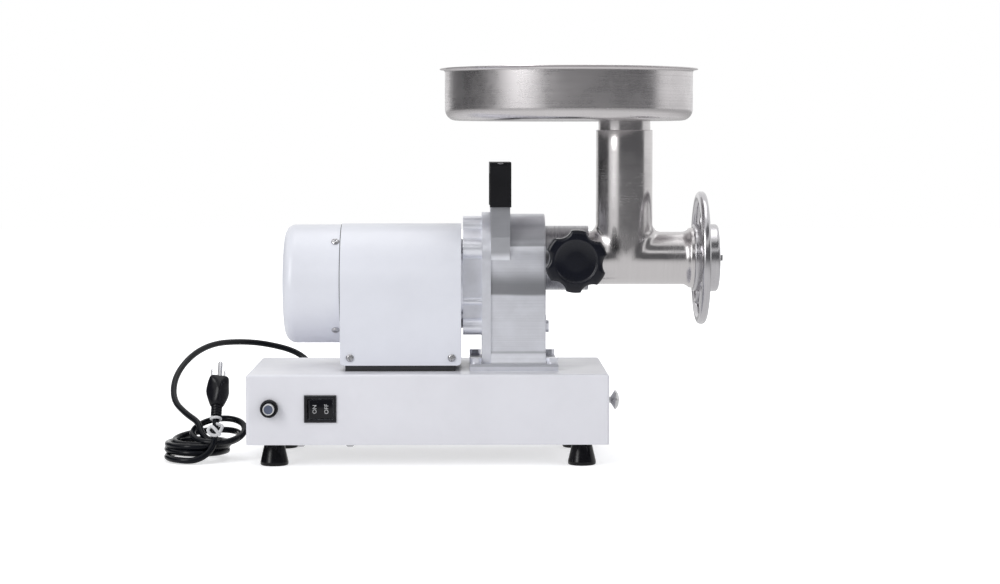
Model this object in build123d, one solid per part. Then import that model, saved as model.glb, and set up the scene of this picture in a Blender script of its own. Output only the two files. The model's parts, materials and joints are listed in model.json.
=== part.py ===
from build123d import *

import os
from math import acos, atan2, cos, pi, radians, sin, sqrt, tan

# Small electric meat grinder: a sheet-metal base box with a drawer, a universal motor under a white
# cover, a three-stage spur gearbox, a stainless head with auger, knife and plate, and a round tray.
# Millimetres, +Z up, floor at Z = 0. While it is drawn, X = 0 is the joint between motor and gearbox and
# +X points to the meat outlet; Y = 0 is the plane of symmetry and the controls are on the -Y side.
# save() shifts X so that the finished part stands with its origin at the middle of its footprint.

# ---------------------------------------------------------------- driving dimensions
FIT = 0.1                 # radial clearance of a shaft or pin in its bore
GAP = 0.3                 # clearance between pieces that move past or sit near each other
SHEET = 1.5               # folded steel of the base
SCREW_RADIUS = 2.0        # M4 screws
SCREW_HOLE = 2.2
SCREW_HEAD_RADIUS = 3.8
SCREW_HEAD_HEIGHT = 2.4
BOLT_RADIUS = 3.0         # M6 bolts
BOLT_HOLE = 3.3

FOOT_HEIGHT = 22.0
FOOT_TOP_RADIUS = 9.2
FOOT_BOTTOM_RADIUS = 13.5
FOOT_SEAT_DEPTH = 12.0    # depth of the screw's counterbore from below
FOOT_INSET_X = 24.9
FOOT_INSET_Y = 25.0

BASE_LENGTH = 344.3
BASE_DEPTH = 180.0
BASE_HEIGHT = 67.0
BASE_LEFT_OF_JOINT = 223.8
BASE_BEND = 3.0
BASE_LIP = 13.0           # turned-in edge, from the outer face

DRAWER_WIDTH = 112.0
DRAWER_HEIGHT = 46.0
DRAWER_LENGTH = 180.0
DRAWER_WALL = 1.0
DRAWER_BOTTOM = 8.5       # above the underside of the base
DRAWER_KNOB_RADIUS = 9.5
DRAWER_KNOB_REACH = 15.0

SWITCH_X = -153.4
SWITCH_Z = 56.5
SWITCH_FRAME = (30.6, 26.0, 2.0)
SWITCH_BODY = (27.6, 22.4, 18.0)
SWITCH_WELL = (24.6, 19.4, 14.0)
ROCKER_LENGTH = 22.4
ROCKER_WIDTH = 18.6
ROCKER_TILT = 8.0         # degrees either side of level

BREAKER_X = -201.6
BREAKER_Z = 57.0
BREAKER_RING_RADIUS = 8.1
BREAKER_RING_REACH = 7.0
BUTTON_RADIUS = 5.85
BUTTON_REACH = 12.0
BUTTON_CAP_RADIUS = 4.5
BUTTON_TRAVEL = 3.0

MOTOR_AXIS_Z = 170.0
CAP_RADIUS = 58.0
CAP_LENGTH = 55.5
CAP_WALL = 2.0
CAP_ROUNDING = 11.0
COVER_RADIUS = 59.0
COVER_LENGTH = 116.3
COVER_WALL = 1.2
COVER_BOTTOM_Z = 94.5
COVER_CORNER = 4.0
COVER_TO_JOINT = 20.1
SADDLE_WALL = 2.5
END_BELL_LENGTH = 18.4
END_BELL_HALF_WIDTH = 38.0
END_BELL_BOTTOM_Z = 122.5
END_BELL_BORE = 33.0
END_BELL_RIB = (36.0, 154.8)     # Y and Z of the rib on either side
END_BELL_RIB_RADIUS = 4.2

STATOR_RADIUS = 46.0
STATOR_LENGTH = 54.0
STATOR_RIGHT = -36.0
AIR_GAP = 0.8
COMMUTATOR_LENGTH = 17.0
COMMUTATOR_TO_STATOR = 11.0
BRUSH_WIDTH = 8.0
FAN_INSET = 20.0          # behind the cap's end
ARMATURE_RADIUS = 22.4
COIL_INNER_RADIUS = 25.0
COIL_OUTER_RADIUS = 37.0
COIL_OVERHANG = 10.0
COIL_START = 25.0         # degrees from the front to a coil's side
COIL_POLE = 47.0          # half the angle that a pole spans
TIE_ROD_CIRCLE = 42.5
TIE_ROD_RADIUS = 2.0
STATOR_POST_RADIUS = 4.5
MOTOR_SHAFT_RADIUS = 4.0
PINION_SHAFT_RADIUS = 2.5
COMMUTATOR_RADIUS = 14.0
FAN_RADIUS = 46.0
FAN_LENGTH = 16.0
BALL_BEARING = (11.0, 4.0 + FIT, 7.0)          # outer radius, bore radius, width
OUTPUT_BEARING = (21.0, 10.0 + FIT, 12.0)

OUTPUT_AXIS_Z = 195.0
PLATE_THICKNESS = 8.6     # gear-case back plate
PLATE_RADIUS = 45.0
CASE_RADIUS = 43.3
CASE_LENGTH = 53.0
CASE_WALL = 3.0
CASE_FRONT_WALL = 4.0
CASE_FLOOR_Z = 100.0
CASE_STEP = 1.7           # the front chamber is this much narrower and seats the bearing carrier
CASE_SKIRT_TOP_Z = 106.6
CASE_SKIRT_REACH = 7.0
FLANGE_THICKNESS = 6.4
FLANGE_LEFT = 12.0
FLANGE_RIGHT = 73.4
FLANGE_BOLT_INSET = (5.8, 8.0)
FLANGE_DEPTH = 112.0
CARRIER_X = (31.0, 35.0)

PRESSURE_ANGLE = radians(25)
ADDENDUM = 0.8
DEDENDUM = 1.0
BACKLASH = 0.16           # taken off the thickness of each tooth
PINION_TEETH = 10
GEAR_TEETH = (34, 46, 48)
GEAR_MODULE = (1.0, 1.25, 1.5)
GEAR_PLANES = ((10.0, 18.0), (19.5, 28.5), (37.0, 50.0))
COUNTERSHAFT_RADIUS = (4.0, 5.0)
OUTPUT_TAIL_RADIUS = 4.5
OUTPUT_SHAFT_RADIUS = 10.0
OUTPUT_SEAT_RADIUS = 9.0
SOCKET_RIGHT = 92.0
SOCKET_HALF = 6.2
SOCKET_DEPTH = 13.5
BUSH_WALL = 2.0

ARM_WIDTH = 18.5
ARM_THICKNESS = 5.0
GRIP_WIDTH = 20.6
GRIP_BOTTOM_Z = 246.0
GRIP_TOP_Z = 289.0
GRIP_BAR = 11.0
GRIP_WALL = 4.0
GRIP_SCREW_SEAT = 2.4

HUB_RADIUS = 31.5
HUB_RIGHT = 104.0
HUB_SCREW_CIRCLE = 26.5
LOCK_X = 89.4
LOCK_STUD_RADIUS = 4.0
LOCK_PAD_THICKNESS = 2.5
LOCK_BOSS_RADIUS = 9.0
LOCK_BOSS_REACH = 42.0
KNOB_RADIUS = 30.0
KNOB_NOTCH_RADIUS = 10.0
KNOB_NOTCH_CIRCLE = 35.5
KNOB_LOBES = 6
KNOB_FIRST_NOTCH = -5.0
KNOB_BACK = 58.0
KNOB_THICKNESS = 18.0
KNOB_SKIRT_RADIUS = 13.0
KNOB_DISH_RADIUS = 21.0

BARREL_RADIUS = 26.0
CHAMBER_RADIUS = 21.0
MOUTH_RADIUS = 29.5
MOUTH_LEFT = 204.0
MOUTH_RIGHT = 223.0
FLARE_LENGTH = 8.0
REAR_WALL_X = (96.0, 103.0)
AUGER_SHANK_RADIUS = 10.0
NECK_X = 139.7
NECK_RADIUS = 27.65
NECK_TOP_Z = 320.2
NECK_THROAT_RADIUS = 23.0
NECK_BLEND = 8.0          # radius that the neck meets the barrel's top line with
STEM_RADIUS = 25.4
STEM_WALL = 1.0
STEM_BOTTOM_Z = 291.0

AUGER_CORE_RADIUS = 9.0
AUGER_FLIGHT_RADIUS = 20.4
AUGER_PITCH = 31.0
AUGER_FLIGHT_THICKNESS = (5.0, 3.0)   # at the root and at the tip
AUGER_RIGHT = 209.0
KNIFE_THICKNESS = 6.0
GRIND_PLATE_RADIUS = 27.0
GRIND_PLATE_THICKNESS = 9.0
GRIND_PLATE_LEFT = 217.0
STUD_RADIUS = 4.0
STUD_TIP = 236.6
STUD_SQUARE = 5.6
KNIFE_WELL_RADIUS = 25.5

NUT_RADIUS = 33.0
NUT_LEFT = 207.0
NUT_RIGHT = 231.6
NUT_OPENING = 24.0
WASHER_THICKNESS = 1.5
WHEEL_X = 215.2
WHEEL_RADIUS = 65.2
WHEEL_RIM = (10.0, 8.6)   # radial and axial size of the rim
WHEEL_SPOKES = 5
WHEEL_SPOKE_TURN = 18.0     # degrees from the front to the first spoke

TRAY_X = 85.1
TRAY_RADIUS = 121.0
TRAY_BOTTOM_Z = 329.4
TRAY_DEPTH = 50.4
TRAY_WALL = 1.0
TRAY_CORNER = 11.0
TRAY_LIP_REACH = 5.0      # from the wall out to the rim
TRAY_LIP_HEIGHT = 4.0     # the wall curves out to the rim over this height

CORD_RADIUS = 3.1
GLAND_X = -174.4
GLAND_Z = 55.0
GLAND_REACH = 22.0
# Free run of the cord from the gland to the tied hank, as corner points of straight runs.
CORD_ROUTE = [
    (-174.4, 112.0, 55.0),
    (-174.4, 131.0, 55.0),
    (-174.0, 150.0, 72.0),
    (-192.0, 162.8, 88.5),
    (-226.0, 160.0, 97.5),
    (-252.0, 140.0, 101.2),
    (-276.0, 108.0, 101.8),
    (-294.0, 72.0, 93.0),
    (-306.5, 38.0, 75.0),
    (-305.0, 10.0, 54.0),
    (-289.0, -14.0, 43.0),
    (-276.0, -25.0, 36.5),
    (-272.0, -34.5, 27.5),
]
HANK_CENTRE = (-271.0, -31.0)
HANK_SIZE = (79.0, 98.0, 24.0)
HANK_CROWN = (39.0, 24.0, 36.0)   # upright loops on the hank: X, Y and top height
PLUG_X = -257.4
PLUG_Y = -38.0
PLUG_BOTTOM_Z = 43.0
PLUG_LENGTH = 41.0
PLUG_RELIEF_LENGTH = 12.0
PLUG_WIDTH = 22.0
PLUG_DEPTH = 24.0
PLUG_LEAN = 35.0          # degrees that the plug leans back from upright
PLUG_TURN = 194.5         # degrees about its own axis
CONTACT_PITCH = 12.7
EARTH_OFFSET = 11.9

# ---------------------------------------------------------------- derived places
base_left = -BASE_LEFT_OF_JOINT
base_right = base_left + BASE_LENGTH
base_front = -BASE_DEPTH / 2
base_back = BASE_DEPTH / 2
base_top = FOOT_HEIGHT + BASE_HEIGHT
base_plate_top = FOOT_HEIGHT + SHEET
drawer_floor = FOOT_HEIGHT + DRAWER_BOTTOM
drawer_left = base_right - DRAWER_LENGTH

cover_right = -COVER_TO_JOINT
cover_left = cover_right - COVER_LENGTH
cap_left = cover_left - CAP_LENGTH
cap_screw_x = cover_left - 5.0
bracket_left = cover_left + 2.4          # web of the rear bracket
bracket_web = 4.0
stator_left = STATOR_RIGHT - STATOR_LENGTH
commutator_right = stator_left - COMMUTATOR_TO_STATOR
brush_right = commutator_right - 4.0
brush_left = brush_right - BRUSH_WIDTH
end_bell_left = -END_BELL_LENGTH

case_left = PLATE_THICKNESS
case_right = case_left + CASE_LENGTH
case_inner = CASE_RADIUS - CASE_WALL
front_inner = case_inner - CASE_STEP
cavity_right = case_right - CASE_FRONT_WALL
flange_top = base_top + FLANGE_THICKNESS
hub_left = case_right
bearing_left = hub_left + 2.4
tail_left = bearing_left + OUTPUT_BEARING[2] + GAP
washer_left = GRIND_PLATE_LEFT + GRIND_PLATE_THICKNESS + GAP
key_bottom = OUTPUT_AXIS_Z - GRIND_PLATE_RADIUS - 1.0
tray_top = TRAY_BOTTOM_Z + TRAY_DEPTH
arm_middle = case_left + ARM_WIDTH / 2
arm_centre = CASE_RADIUS + ARM_THICKNESS / 2
rocker_pivot_y = base_front + 1.5

ground_bolts = [
    (x, side * (FLANGE_DEPTH / 2 - FLANGE_BOLT_INSET[1]))
    for x in (FLANGE_BOLT_INSET[0] - FLANGE_LEFT, FLANGE_RIGHT - FLANGE_BOLT_INSET[0])
    for side in (-1, 1)
]
boss_upper = [(side * 34.0, 205.5) for side in (-1, 1)] + [(side * 16.0, 227.4) for side in (-1, 1)]
boss_lower = [(side * 36.0, 130.6) for side in (-1, 1)]
foot_places = [
    (x, y)
    for x in (base_left + FOOT_INSET_X, base_right - FOOT_INSET_X)
    for y in (base_front + FOOT_INSET_Y, base_back - FOOT_INSET_Y)
]
plate_screws = [(x, side * (BASE_DEPTH / 2 - 7)) for x in (-172.3, -125.6) for side in (-1, 1)]
saddle_screws = [(x, side * 38.0) for x in (cover_left + 20, cover_right - 20) for side in (-1, 1)]
cover_screws = [(x, side) for x in (cover_left + 9.6, cover_right - 9.1) for side in (-1, 1)]
COVER_SCREW_Z = 102.0
cap_screw_angles = [47, 133, 227, 313]
brush_places = [(side * 28.0, MOTOR_AXIS_Z) for side in (-1, 1)]
quarter_turns = [(cos(radians(a)), sin(radians(a))) for a in (45, 135, 225, 315)]
tie_rod_places = [(TIE_ROD_CIRCLE * y, MOTOR_AXIS_Z + TIE_ROD_CIRCLE * z) for y, z in quarter_turns]
hub_screws = [(HUB_SCREW_CIRCLE * y, OUTPUT_AXIS_Z + HUB_SCREW_CIRCLE * z) for y, z in quarter_turns]

crown_left = CORD_ROUTE[-1][0]
x_min = base_left
x_max = STUD_TIP
SHIFT_X = -(x_min + x_max) / 2


# ---------------------------------------------------------------- small makers
def along_x(x, y, z):
    """Plane facing +X, with local x along Y and local y along Z."""
    return Plane(origin=(x, y, z), x_dir=(0, 1, 0), z_dir=(1, 0, 0))


def towards_front(x, y, z):
    """Plane facing -Y, with local x along X and local y along Z."""
    return Plane(origin=(x, y, z), x_dir=(1, 0, 0), z_dir=(0, -1, 0))


def rod_x(radius, x0, x1, y=0.0, z=0.0):
    """Cylinder along X from x0 to x1."""
    return extrude(along_x(x0, y, z) * Circle(radius), x1 - x0)


def rod_y(radius, x, z, y_back, y_front):
    """Cylinder along Y, from its back end to its front end."""
    return extrude(towards_front(x, y_back, z) * Circle(radius), y_back - y_front)


def rod_z(radius, x, y, z0, z1):
    """Cylinder along Z from z0 to z1."""
    return extrude(Plane.XY.offset(z0) * Pos(x, y) * Circle(radius), z1 - z0)


def block(x0, x1, y0, y1, z0, z1):
    """Box between two corners."""
    middle = Pos((x0 + x1) / 2, (y0 + y1) / 2, (z0 + z1) / 2)
    return middle * Box(x1 - x0, y1 - y0, z1 - z0)


def arch(radius, axis_z, bottom_z, x0, x1):
    """Solid along X with a round top about axis_z and straight sides down to bottom_z."""
    drop = axis_z - bottom_z
    outline = Circle(radius) + Pos(0, -drop / 2) * Rectangle(2 * radius, drop)
    return extrude(along_x(x0, 0, axis_z) * outline, x1 - x0)


def turned_x(points, y=0.0, z=0.0):
    """Solid turned about an axis along X from (x, radius) points."""
    face = make_face(Polyline(*points, close=True))
    return Pos(0, y, z) * revolve(Plane.XZ * face, Axis.X, 360)


def turned_z(points, x=0.0, y=0.0):
    """Solid turned about an axis along Z from (radius, z) points."""
    face = make_face(Polyline(*points, close=True))
    return Pos(x, y, 0) * revolve(Plane.XZ * face, Axis.Z, 360)


def ring_sector(inner, outer, start, end, x0, x1, z):
    """Part of a tube along X between two angles in degrees, measured from +Y towards +Z."""
    far = 3 * outer
    middle = (start + end) / 2
    corners = [(far * cos(radians(a)), far * sin(radians(a))) for a in (start, middle, end)]
    wedge = make_face(Polyline((0, 0), *corners, close=True))
    return extrude(along_x(x0, 0, z) * ((Circle(outer) - Circle(inner)) & wedge), x1 - x0)


def pan_screw(plane, length, head_radius=SCREW_HEAD_RADIUS, head_height=SCREW_HEAD_HEIGHT):
    """Cross-head screw whose head stands on the plane and whose shank runs behind it."""
    head = extrude(Circle(head_radius), head_height)
    head = fillet(head.edges().sort_by(Axis.Z)[-1], 0.7 * head_height)
    cross = Rectangle(0.6 * 2 * head_radius, 1.0) + Rectangle(1.0, 0.6 * 2 * head_radius)
    recess = extrude(Plane.XY.offset(0.45 * head_height) * cross, head_height)
    shank = extrude(Circle(SCREW_RADIUS - FIT), -length)
    return plane * (head - recess + shank)


def hex_bolt(plane, radius, across, head_height, length):
    """Hexagon bolt whose head stands on the plane and whose shank runs behind it."""
    head = extrude(RegularPolygon(across / sqrt(3), 6), head_height)
    return plane * (head + extrude(Circle(radius), -length))


def joined(pieces):
    """One compound that keeps its solids apart."""
    solids = []
    for piece in pieces:
        solids += piece.solids()
    return Compound(children=solids)


# ---------------------------------------------------------------- gears
def involute(angle):
    """Involute function of a pressure angle."""
    return tan(angle) - angle


def gear(teeth, module, phase, x0, x1, centre, bore):
    """Spur gear along X; phase is the angle of the middle of one tooth, from +Y towards +Z."""
    pitch_radius = teeth * module / 2
    base_radius = pitch_radius * cos(PRESSURE_ANGLE)
    root_radius = pitch_radius - DEDENDUM * module
    tip_radius = pitch_radius + ADDENDUM * module
    half_pitch_angle = pi / (2 * teeth) - BACKLASH / (2 * pitch_radius)

    def half_angle(radius):
        at = acos(min(1.0, base_radius / radius))
        return half_pitch_angle + involute(PRESSURE_ANGLE) - involute(at)

    radii = [root_radius]
    if base_radius > root_radius:
        radii.append(base_radius)
    radii += [pitch_radius, tip_radius]
    flank = [(radius, half_angle(max(radius, base_radius))) for radius in radii]
    points = []
    for tooth in range(teeth):
        middle = phase + 2 * pi * tooth / teeth
        for radius, half in flank:
            points.append((radius * cos(middle - half), radius * sin(middle - half)))
        for radius, half in reversed(flank):
            points.append((radius * cos(middle + half), radius * sin(middle + half)))
    face = make_face(Polyline(*points, close=True))
    if bore:
        face -= Circle(bore)
    return extrude(along_x(x0, *centre) * face, x1 - x0)


def meshing_phase(phase, teeth, centre, next_teeth, next_centre):
    """Phase that puts the next gear's tooth space on this gear's tooth."""
    line = atan2(next_centre[1] - centre[1], next_centre[0] - centre[0])
    tooth_at_line = (line - phase) * teeth / (2 * pi)
    return line + pi - 2 * pi / next_teeth * (0.5 - tooth_at_line)


def meeting_point(first, first_radius, second, second_radius):
    """The +Y point at these distances from two points on the plane Y = 0, as (y, z)."""
    rise = second[1] - first[1]
    along = (first_radius**2 - second_radius**2 + rise**2) / (2 * rise)
    return (sqrt(first_radius**2 - along**2), first[1] + along)


stage_distance = [(PINION_TEETH + GEAR_TEETH[i]) * GEAR_MODULE[i] / 2 for i in range(3)]
MOTOR_CENTRE = (0.0, MOTOR_AXIS_Z)
OUTPUT_CENTRE = (0.0, OUTPUT_AXIS_Z)
SECOND_CENTRE = (0.0, OUTPUT_AXIS_Z - stage_distance[2])
FIRST_CENTRE = meeting_point(SECOND_CENTRE, stage_distance[1], MOTOR_CENTRE, stage_distance[0])

PHASE_MOTOR = 0.0
PHASE_FIRST = meshing_phase(PHASE_MOTOR, PINION_TEETH, MOTOR_CENTRE, GEAR_TEETH[0], FIRST_CENTRE)
PHASE_SECOND = meshing_phase(0.0, PINION_TEETH, FIRST_CENTRE, GEAR_TEETH[1], SECOND_CENTRE)
PHASE_OUTPUT = meshing_phase(0.0, PINION_TEETH, SECOND_CENTRE, GEAR_TEETH[2], OUTPUT_CENTRE)


# ---------------------------------------------------------------- base
def base_housing():
    """Folded box, open below, with turned-in edges front and back for the bottom plate."""
    box = block(base_left, base_right, base_front, base_back, FOOT_HEIGHT, base_top)
    bends = box.edges().filter_by(Axis.Z) + box.faces().sort_by(Axis.Z)[-1].edges()
    box = fillet(bends, BASE_BEND)
    inside = block(
        base_left + SHEET, base_right - SHEET, base_front + SHEET, base_back - SHEET,
        FOOT_HEIGHT, base_top - SHEET,
    )
    bends = inside.edges().filter_by(Axis.Z) + inside.faces().sort_by(Axis.Z)[-1].edges()
    box -= fillet(bends, BASE_BEND - SHEET)
    for y0, y1 in ((base_front + SHEET, base_front + BASE_LIP), (base_back - BASE_LIP, base_back - SHEET)):
        box += block(
            base_left + SHEET, base_right - SHEET, y0, y1, base_plate_top, base_plate_top + SHEET
        )
    for x, y in plate_screws:
        box -= rod_z(SCREW_HOLE, x, y, FOOT_HEIGHT, base_plate_top + 2 * SHEET)
    box -= block(
        SWITCH_X - SWITCH_BODY[0] / 2 - GAP, SWITCH_X + SWITCH_BODY[0] / 2 + GAP,
        base_front - 1, base_front + SHEET + 1,
        SWITCH_Z - SWITCH_BODY[1] / 2 - GAP, SWITCH_Z + SWITCH_BODY[1] / 2 + GAP,
    )
    box -= rod_y(BUTTON_RADIUS + 2.2 + GAP, BREAKER_X, BREAKER_Z, base_front + 5, base_front - 1)
    box -= rod_y(5.2 + GAP, GLAND_X, GLAND_Z, base_back + 1, base_back - 5)
    box -= block(
        base_right - 5, base_right + 1, -DRAWER_WIDTH / 2 - 0.5, DRAWER_WIDTH / 2 + 0.5,
        drawer_floor - 0.5, drawer_floor + DRAWER_HEIGHT + 0.5,
    )
    for x, y in ground_bolts:
        box -= rod_z(BOLT_HOLE, x, y, base_top - 5, base_top + 1)
    for x, y in saddle_screws:
        box -= rod_z(SCREW_HOLE, x, y, base_top - 5, base_top + 1)
    return box


def base_bottom_plate():
    """Flat plate under the turned-in edges; the feet stand under it."""
    inset = SHEET + GAP
    plate = block(
        base_left + inset, base_right - inset, base_front + inset, base_back - inset,
        FOOT_HEIGHT, base_plate_top,
    )
    plate = fillet(plate.edges().filter_by(Axis.Z), BASE_BEND)
    for x, y in plate_screws + foot_places:
        plate -= rod_z(SCREW_HOLE, x, y, FOOT_HEIGHT - 1, base_plate_top + 1)
    return plate


def rubber_feet():
    """Four tapered feet, each with a counterbore for its screw."""
    profile = [
        (SCREW_HOLE, FOOT_SEAT_DEPTH), (SCREW_HOLE, FOOT_HEIGHT), (FOOT_TOP_RADIUS, FOOT_HEIGHT),
        (FOOT_BOTTOM_RADIUS, 3.0), (FOOT_BOTTOM_RADIUS, 1.4), (FOOT_BOTTOM_RADIUS - 1.4, 0.0),
        (SCREW_HEAD_RADIUS + 0.7, 0.0), (SCREW_HEAD_RADIUS + 0.7, FOOT_SEAT_DEPTH),
    ]
    return joined([turned_z(profile, x, y) for x, y in foot_places])


def hex_nut(x, y, z, height, across, bore):
    """Nut standing on height z."""
    outline = RegularPolygon(across / sqrt(3), 6) - Circle(bore)
    return extrude(Plane.XY.offset(z) * Pos(x, y) * outline, height)


def base_screws():
    """Screws with nuts: through the feet, the bottom plate and the motor saddle."""
    pieces = []
    nut = 3.2
    for x, y in foot_places:
        length = base_plate_top + nut + 1.5 - FOOT_SEAT_DEPTH
        pieces.append(pan_screw(Plane((x, y, FOOT_SEAT_DEPTH), z_dir=(0, 0, -1)), length))
        pieces.append(hex_nut(x, y, base_plate_top, nut, 7.0, SCREW_RADIUS))
    for x, y in plate_screws:
        pieces.append(pan_screw(Plane((x, y, FOOT_HEIGHT), z_dir=(0, 0, -1)), 2 * SHEET + nut + 1))
        pieces.append(hex_nut(x, y, base_plate_top + SHEET, nut, 7.0, SCREW_RADIUS))
    for x, y in saddle_screws:
        top = base_top + SADDLE_WALL
        pieces.append(pan_screw(Plane((x, y, top), z_dir=(0, 0, 1)), SADDLE_WALL + SHEET + nut + 1))
        pieces.append(hex_nut(x, y, base_top - SHEET - nut, nut, 7.0, SCREW_RADIUS))
    return joined(pieces)


def drawer_rails():
    """Two hat-section runners on the bottom plate, under the drawer."""
    rails = []
    top = drawer_floor - GAP
    for side in (-1, 1):
        middle = side * (DRAWER_WIDTH / 2 - 14)
        rail = block(drawer_left + 12, base_right - 12, middle - 6, middle + 6, base_plate_top, top)
        rail -= block(
            drawer_left + 11, base_right - 11, middle - 6 + SHEET, middle + 6 - SHEET,
            base_plate_top, top - SHEET,
        )
        rails.append(rail)
    return joined(rails)


def drawer_pan():
    """Sheet drawer whose front closes the opening in the base's right end."""
    half = DRAWER_WIDTH / 2
    top = drawer_floor + DRAWER_HEIGHT
    pan = block(drawer_left, base_right, -half, half, drawer_floor, top)
    pan -= block(
        drawer_left + DRAWER_WALL, base_right - SHEET, -half + DRAWER_WALL, half - DRAWER_WALL,
        drawer_floor + DRAWER_WALL, top + 1,
    )
    return pan - rod_x(SCREW_HOLE, base_right - 3, base_right + 1, 0, GLAND_Z)


def drawer_knob():
    """Mushroom knob with its screw through the drawer's front."""
    reach = DRAWER_KNOB_REACH
    points = [
        (0, 4.6), (3.0, 4.6), (0.62 * reach, DRAWER_KNOB_RADIUS), (0.72 * reach, DRAWER_KNOB_RADIUS),
        (0.9 * reach, 0.72 * DRAWER_KNOB_RADIUS), (reach, 0.3 * DRAWER_KNOB_RADIUS), (reach, 0.0), (0, 0),
    ]
    knob = turned_x([(base_right + x, r) for x, r in points], z=GLAND_Z)
    shank = rod_x(SCREW_RADIUS - FIT, base_right - SHEET - 0.5, base_right, 0, GLAND_Z)
    head = rod_x(SCREW_HEAD_RADIUS, base_right - SHEET - SCREW_HEAD_HEIGHT, base_right - SHEET, 0, GLAND_Z)
    return knob + shank + head


# ---------------------------------------------------------------- controls
def switch_housing():
    """Frame on the front panel, body through it and the well that the rocker sits in."""
    frame_x, frame_z, frame_y = SWITCH_FRAME
    body_x, body_z, body_y = SWITCH_BODY
    well_x, well_z, well_y = SWITCH_WELL
    front = base_front - frame_y
    frame = block(
        SWITCH_X - frame_x / 2, SWITCH_X + frame_x / 2, front, base_front,
        SWITCH_Z - frame_z / 2, SWITCH_Z + frame_z / 2,
    )
    frame = chamfer(frame.faces().sort_by(Axis.Y)[0].edges(), 0.8)
    body = block(
        SWITCH_X - body_x / 2, SWITCH_X + body_x / 2, base_front, base_front + body_y,
        SWITCH_Z - body_z / 2, SWITCH_Z + body_z / 2,
    )
    well = block(
        SWITCH_X - well_x / 2, SWITCH_X + well_x / 2, front - 1, front + well_y,
        SWITCH_Z - well_z / 2, SWITCH_Z + well_z / 2,
    )
    pin_reach = well_z / 2 + 1.2
    pins = rod_z(1.5 + FIT / 2, SWITCH_X, rocker_pivot_y, SWITCH_Z - pin_reach, SWITCH_Z + pin_reach)
    return frame + body - well - pins


def switch_rocker():
    """Rocker tilted to its OFF side, with its two pivot pins."""
    half = ROCKER_LENGTH / 2
    outline = make_face(Polyline(
        (-half, 4.6), (0, 3.2), (half, 4.6), (half, -0.6),
        (half - 4.0, -3.0), (4 - half, -3.0), (-half, -0.6),
        close=True,
    ))
    low = SWITCH_Z - ROCKER_WIDTH / 2
    rocker = extrude(outline, ROCKER_WIDTH)
    pins = Pos(0, 0, -1.0) * extrude(Circle(1.5), ROCKER_WIDTH + 2.0)
    # local y of the outline points out of the front panel
    return Pos(SWITCH_X, rocker_pivot_y, low) * Rot(0, 0, ROCKER_TILT) * mirror(rocker + pins, Plane.XZ)


def circuit_breaker():
    """Breaker body behind the panel with its threaded neck and ring in front of it."""
    neck_radius = BUTTON_RADIUS + 2.2
    body = block(
        BREAKER_X - 8, BREAKER_X + 8, base_front + SHEET + 0.5, base_front + 32,
        BREAKER_Z - 15, BREAKER_Z + 15,
    )
    ring = rod_y(BREAKER_RING_RADIUS + 0.3, BREAKER_X, BREAKER_Z, base_front, base_front - BREAKER_RING_REACH)
    ring = fillet(ring.edges().sort_by(Axis.Y)[0], 1.0)
    neck = rod_y(neck_radius, BREAKER_X, BREAKER_Z, base_front + SHEET + 0.5, base_front)
    well = rod_y(
        BUTTON_RADIUS + GAP, BREAKER_X, BREAKER_Z,
        base_front + BUTTON_TRAVEL + 1.5, base_front - BREAKER_RING_REACH - 1,
    )
    return body + neck + ring - well


def reset_button():
    """Push button with a shallow dished centre."""
    button = rod_y(BUTTON_RADIUS, BREAKER_X, BREAKER_Z, base_front + 1.0, base_front - BUTTON_REACH)
    button = fillet(button.edges().sort_by(Axis.Y)[0], 0.8)
    face_y = base_front - BUTTON_REACH
    dish = rod_y(BUTTON_CAP_RADIUS, BREAKER_X, BREAKER_Z, face_y + 0.5, face_y - 1)
    return button - dish


# ---------------------------------------------------------------- motor
def fan_cap():
    """Round end cap with a rounded edge and a ring of air slots in its end."""
    outer = rod_x(CAP_RADIUS, cap_left, cover_left, 0, MOTOR_AXIS_Z)
    outer = fillet(outer.edges().filter_by(GeomType.CIRCLE).sort_by(Axis.X)[0], CAP_ROUNDING)
    inner = rod_x(CAP_RADIUS - CAP_WALL, cap_left + CAP_WALL, cover_left, 0, MOTOR_AXIS_Z)
    inner = fillet(inner.edges().filter_by(GeomType.CIRCLE).sort_by(Axis.X)[0], CAP_ROUNDING - CAP_WALL)
    cap = outer - inner
    slot = block(cap_left - 1, cap_left + CAP_WALL + 1, 16, 38, -1.5, 1.5)
    for turn in range(16):
        cap -= Pos(0, 0, MOTOR_AXIS_Z) * Rot(turn * 360 / 16, 0, 0) * slot
    for angle in cap_screw_angles:
        cap -= radial_plane(angle, CAP_RADIUS - 6) * extrude(Circle(SCREW_HOLE), 10)
    return cap


def radial_plane(angle, radius):
    """Plane at the cap screws facing away from the motor axis; angle from +Y towards +Z."""
    y = cos(radians(angle))
    z = sin(radians(angle))
    return Plane(origin=(cap_screw_x, radius * y, MOTOR_AXIS_Z + radius * z), x_dir=(1, 0, 0), z_dir=(0, y, z))


def housing_screws():
    """Screws of the end cap, of the motor cover and of the grip."""
    pieces = [pan_screw(radial_plane(angle, CAP_RADIUS), 7.0) for angle in cap_screw_angles]
    for x, side in cover_screws:
        plane = Plane(origin=(x, side * COVER_RADIUS, COVER_SCREW_Z), x_dir=(1, 0, 0), z_dir=(0, side, 0))
        pieces.append(pan_screw(plane, 6.0))
    for side in (-1, 1):
        place = Pos(arm_middle, side * arm_centre, GRIP_TOP_Z - GRIP_SCREW_SEAT)
        pieces.append(place * extrude(Circle(SCREW_HEAD_RADIUS), 1.8))
        pieces[-1] += place * extrude(Circle(SCREW_RADIUS - 0.4), -12)
    return joined(pieces)


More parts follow.
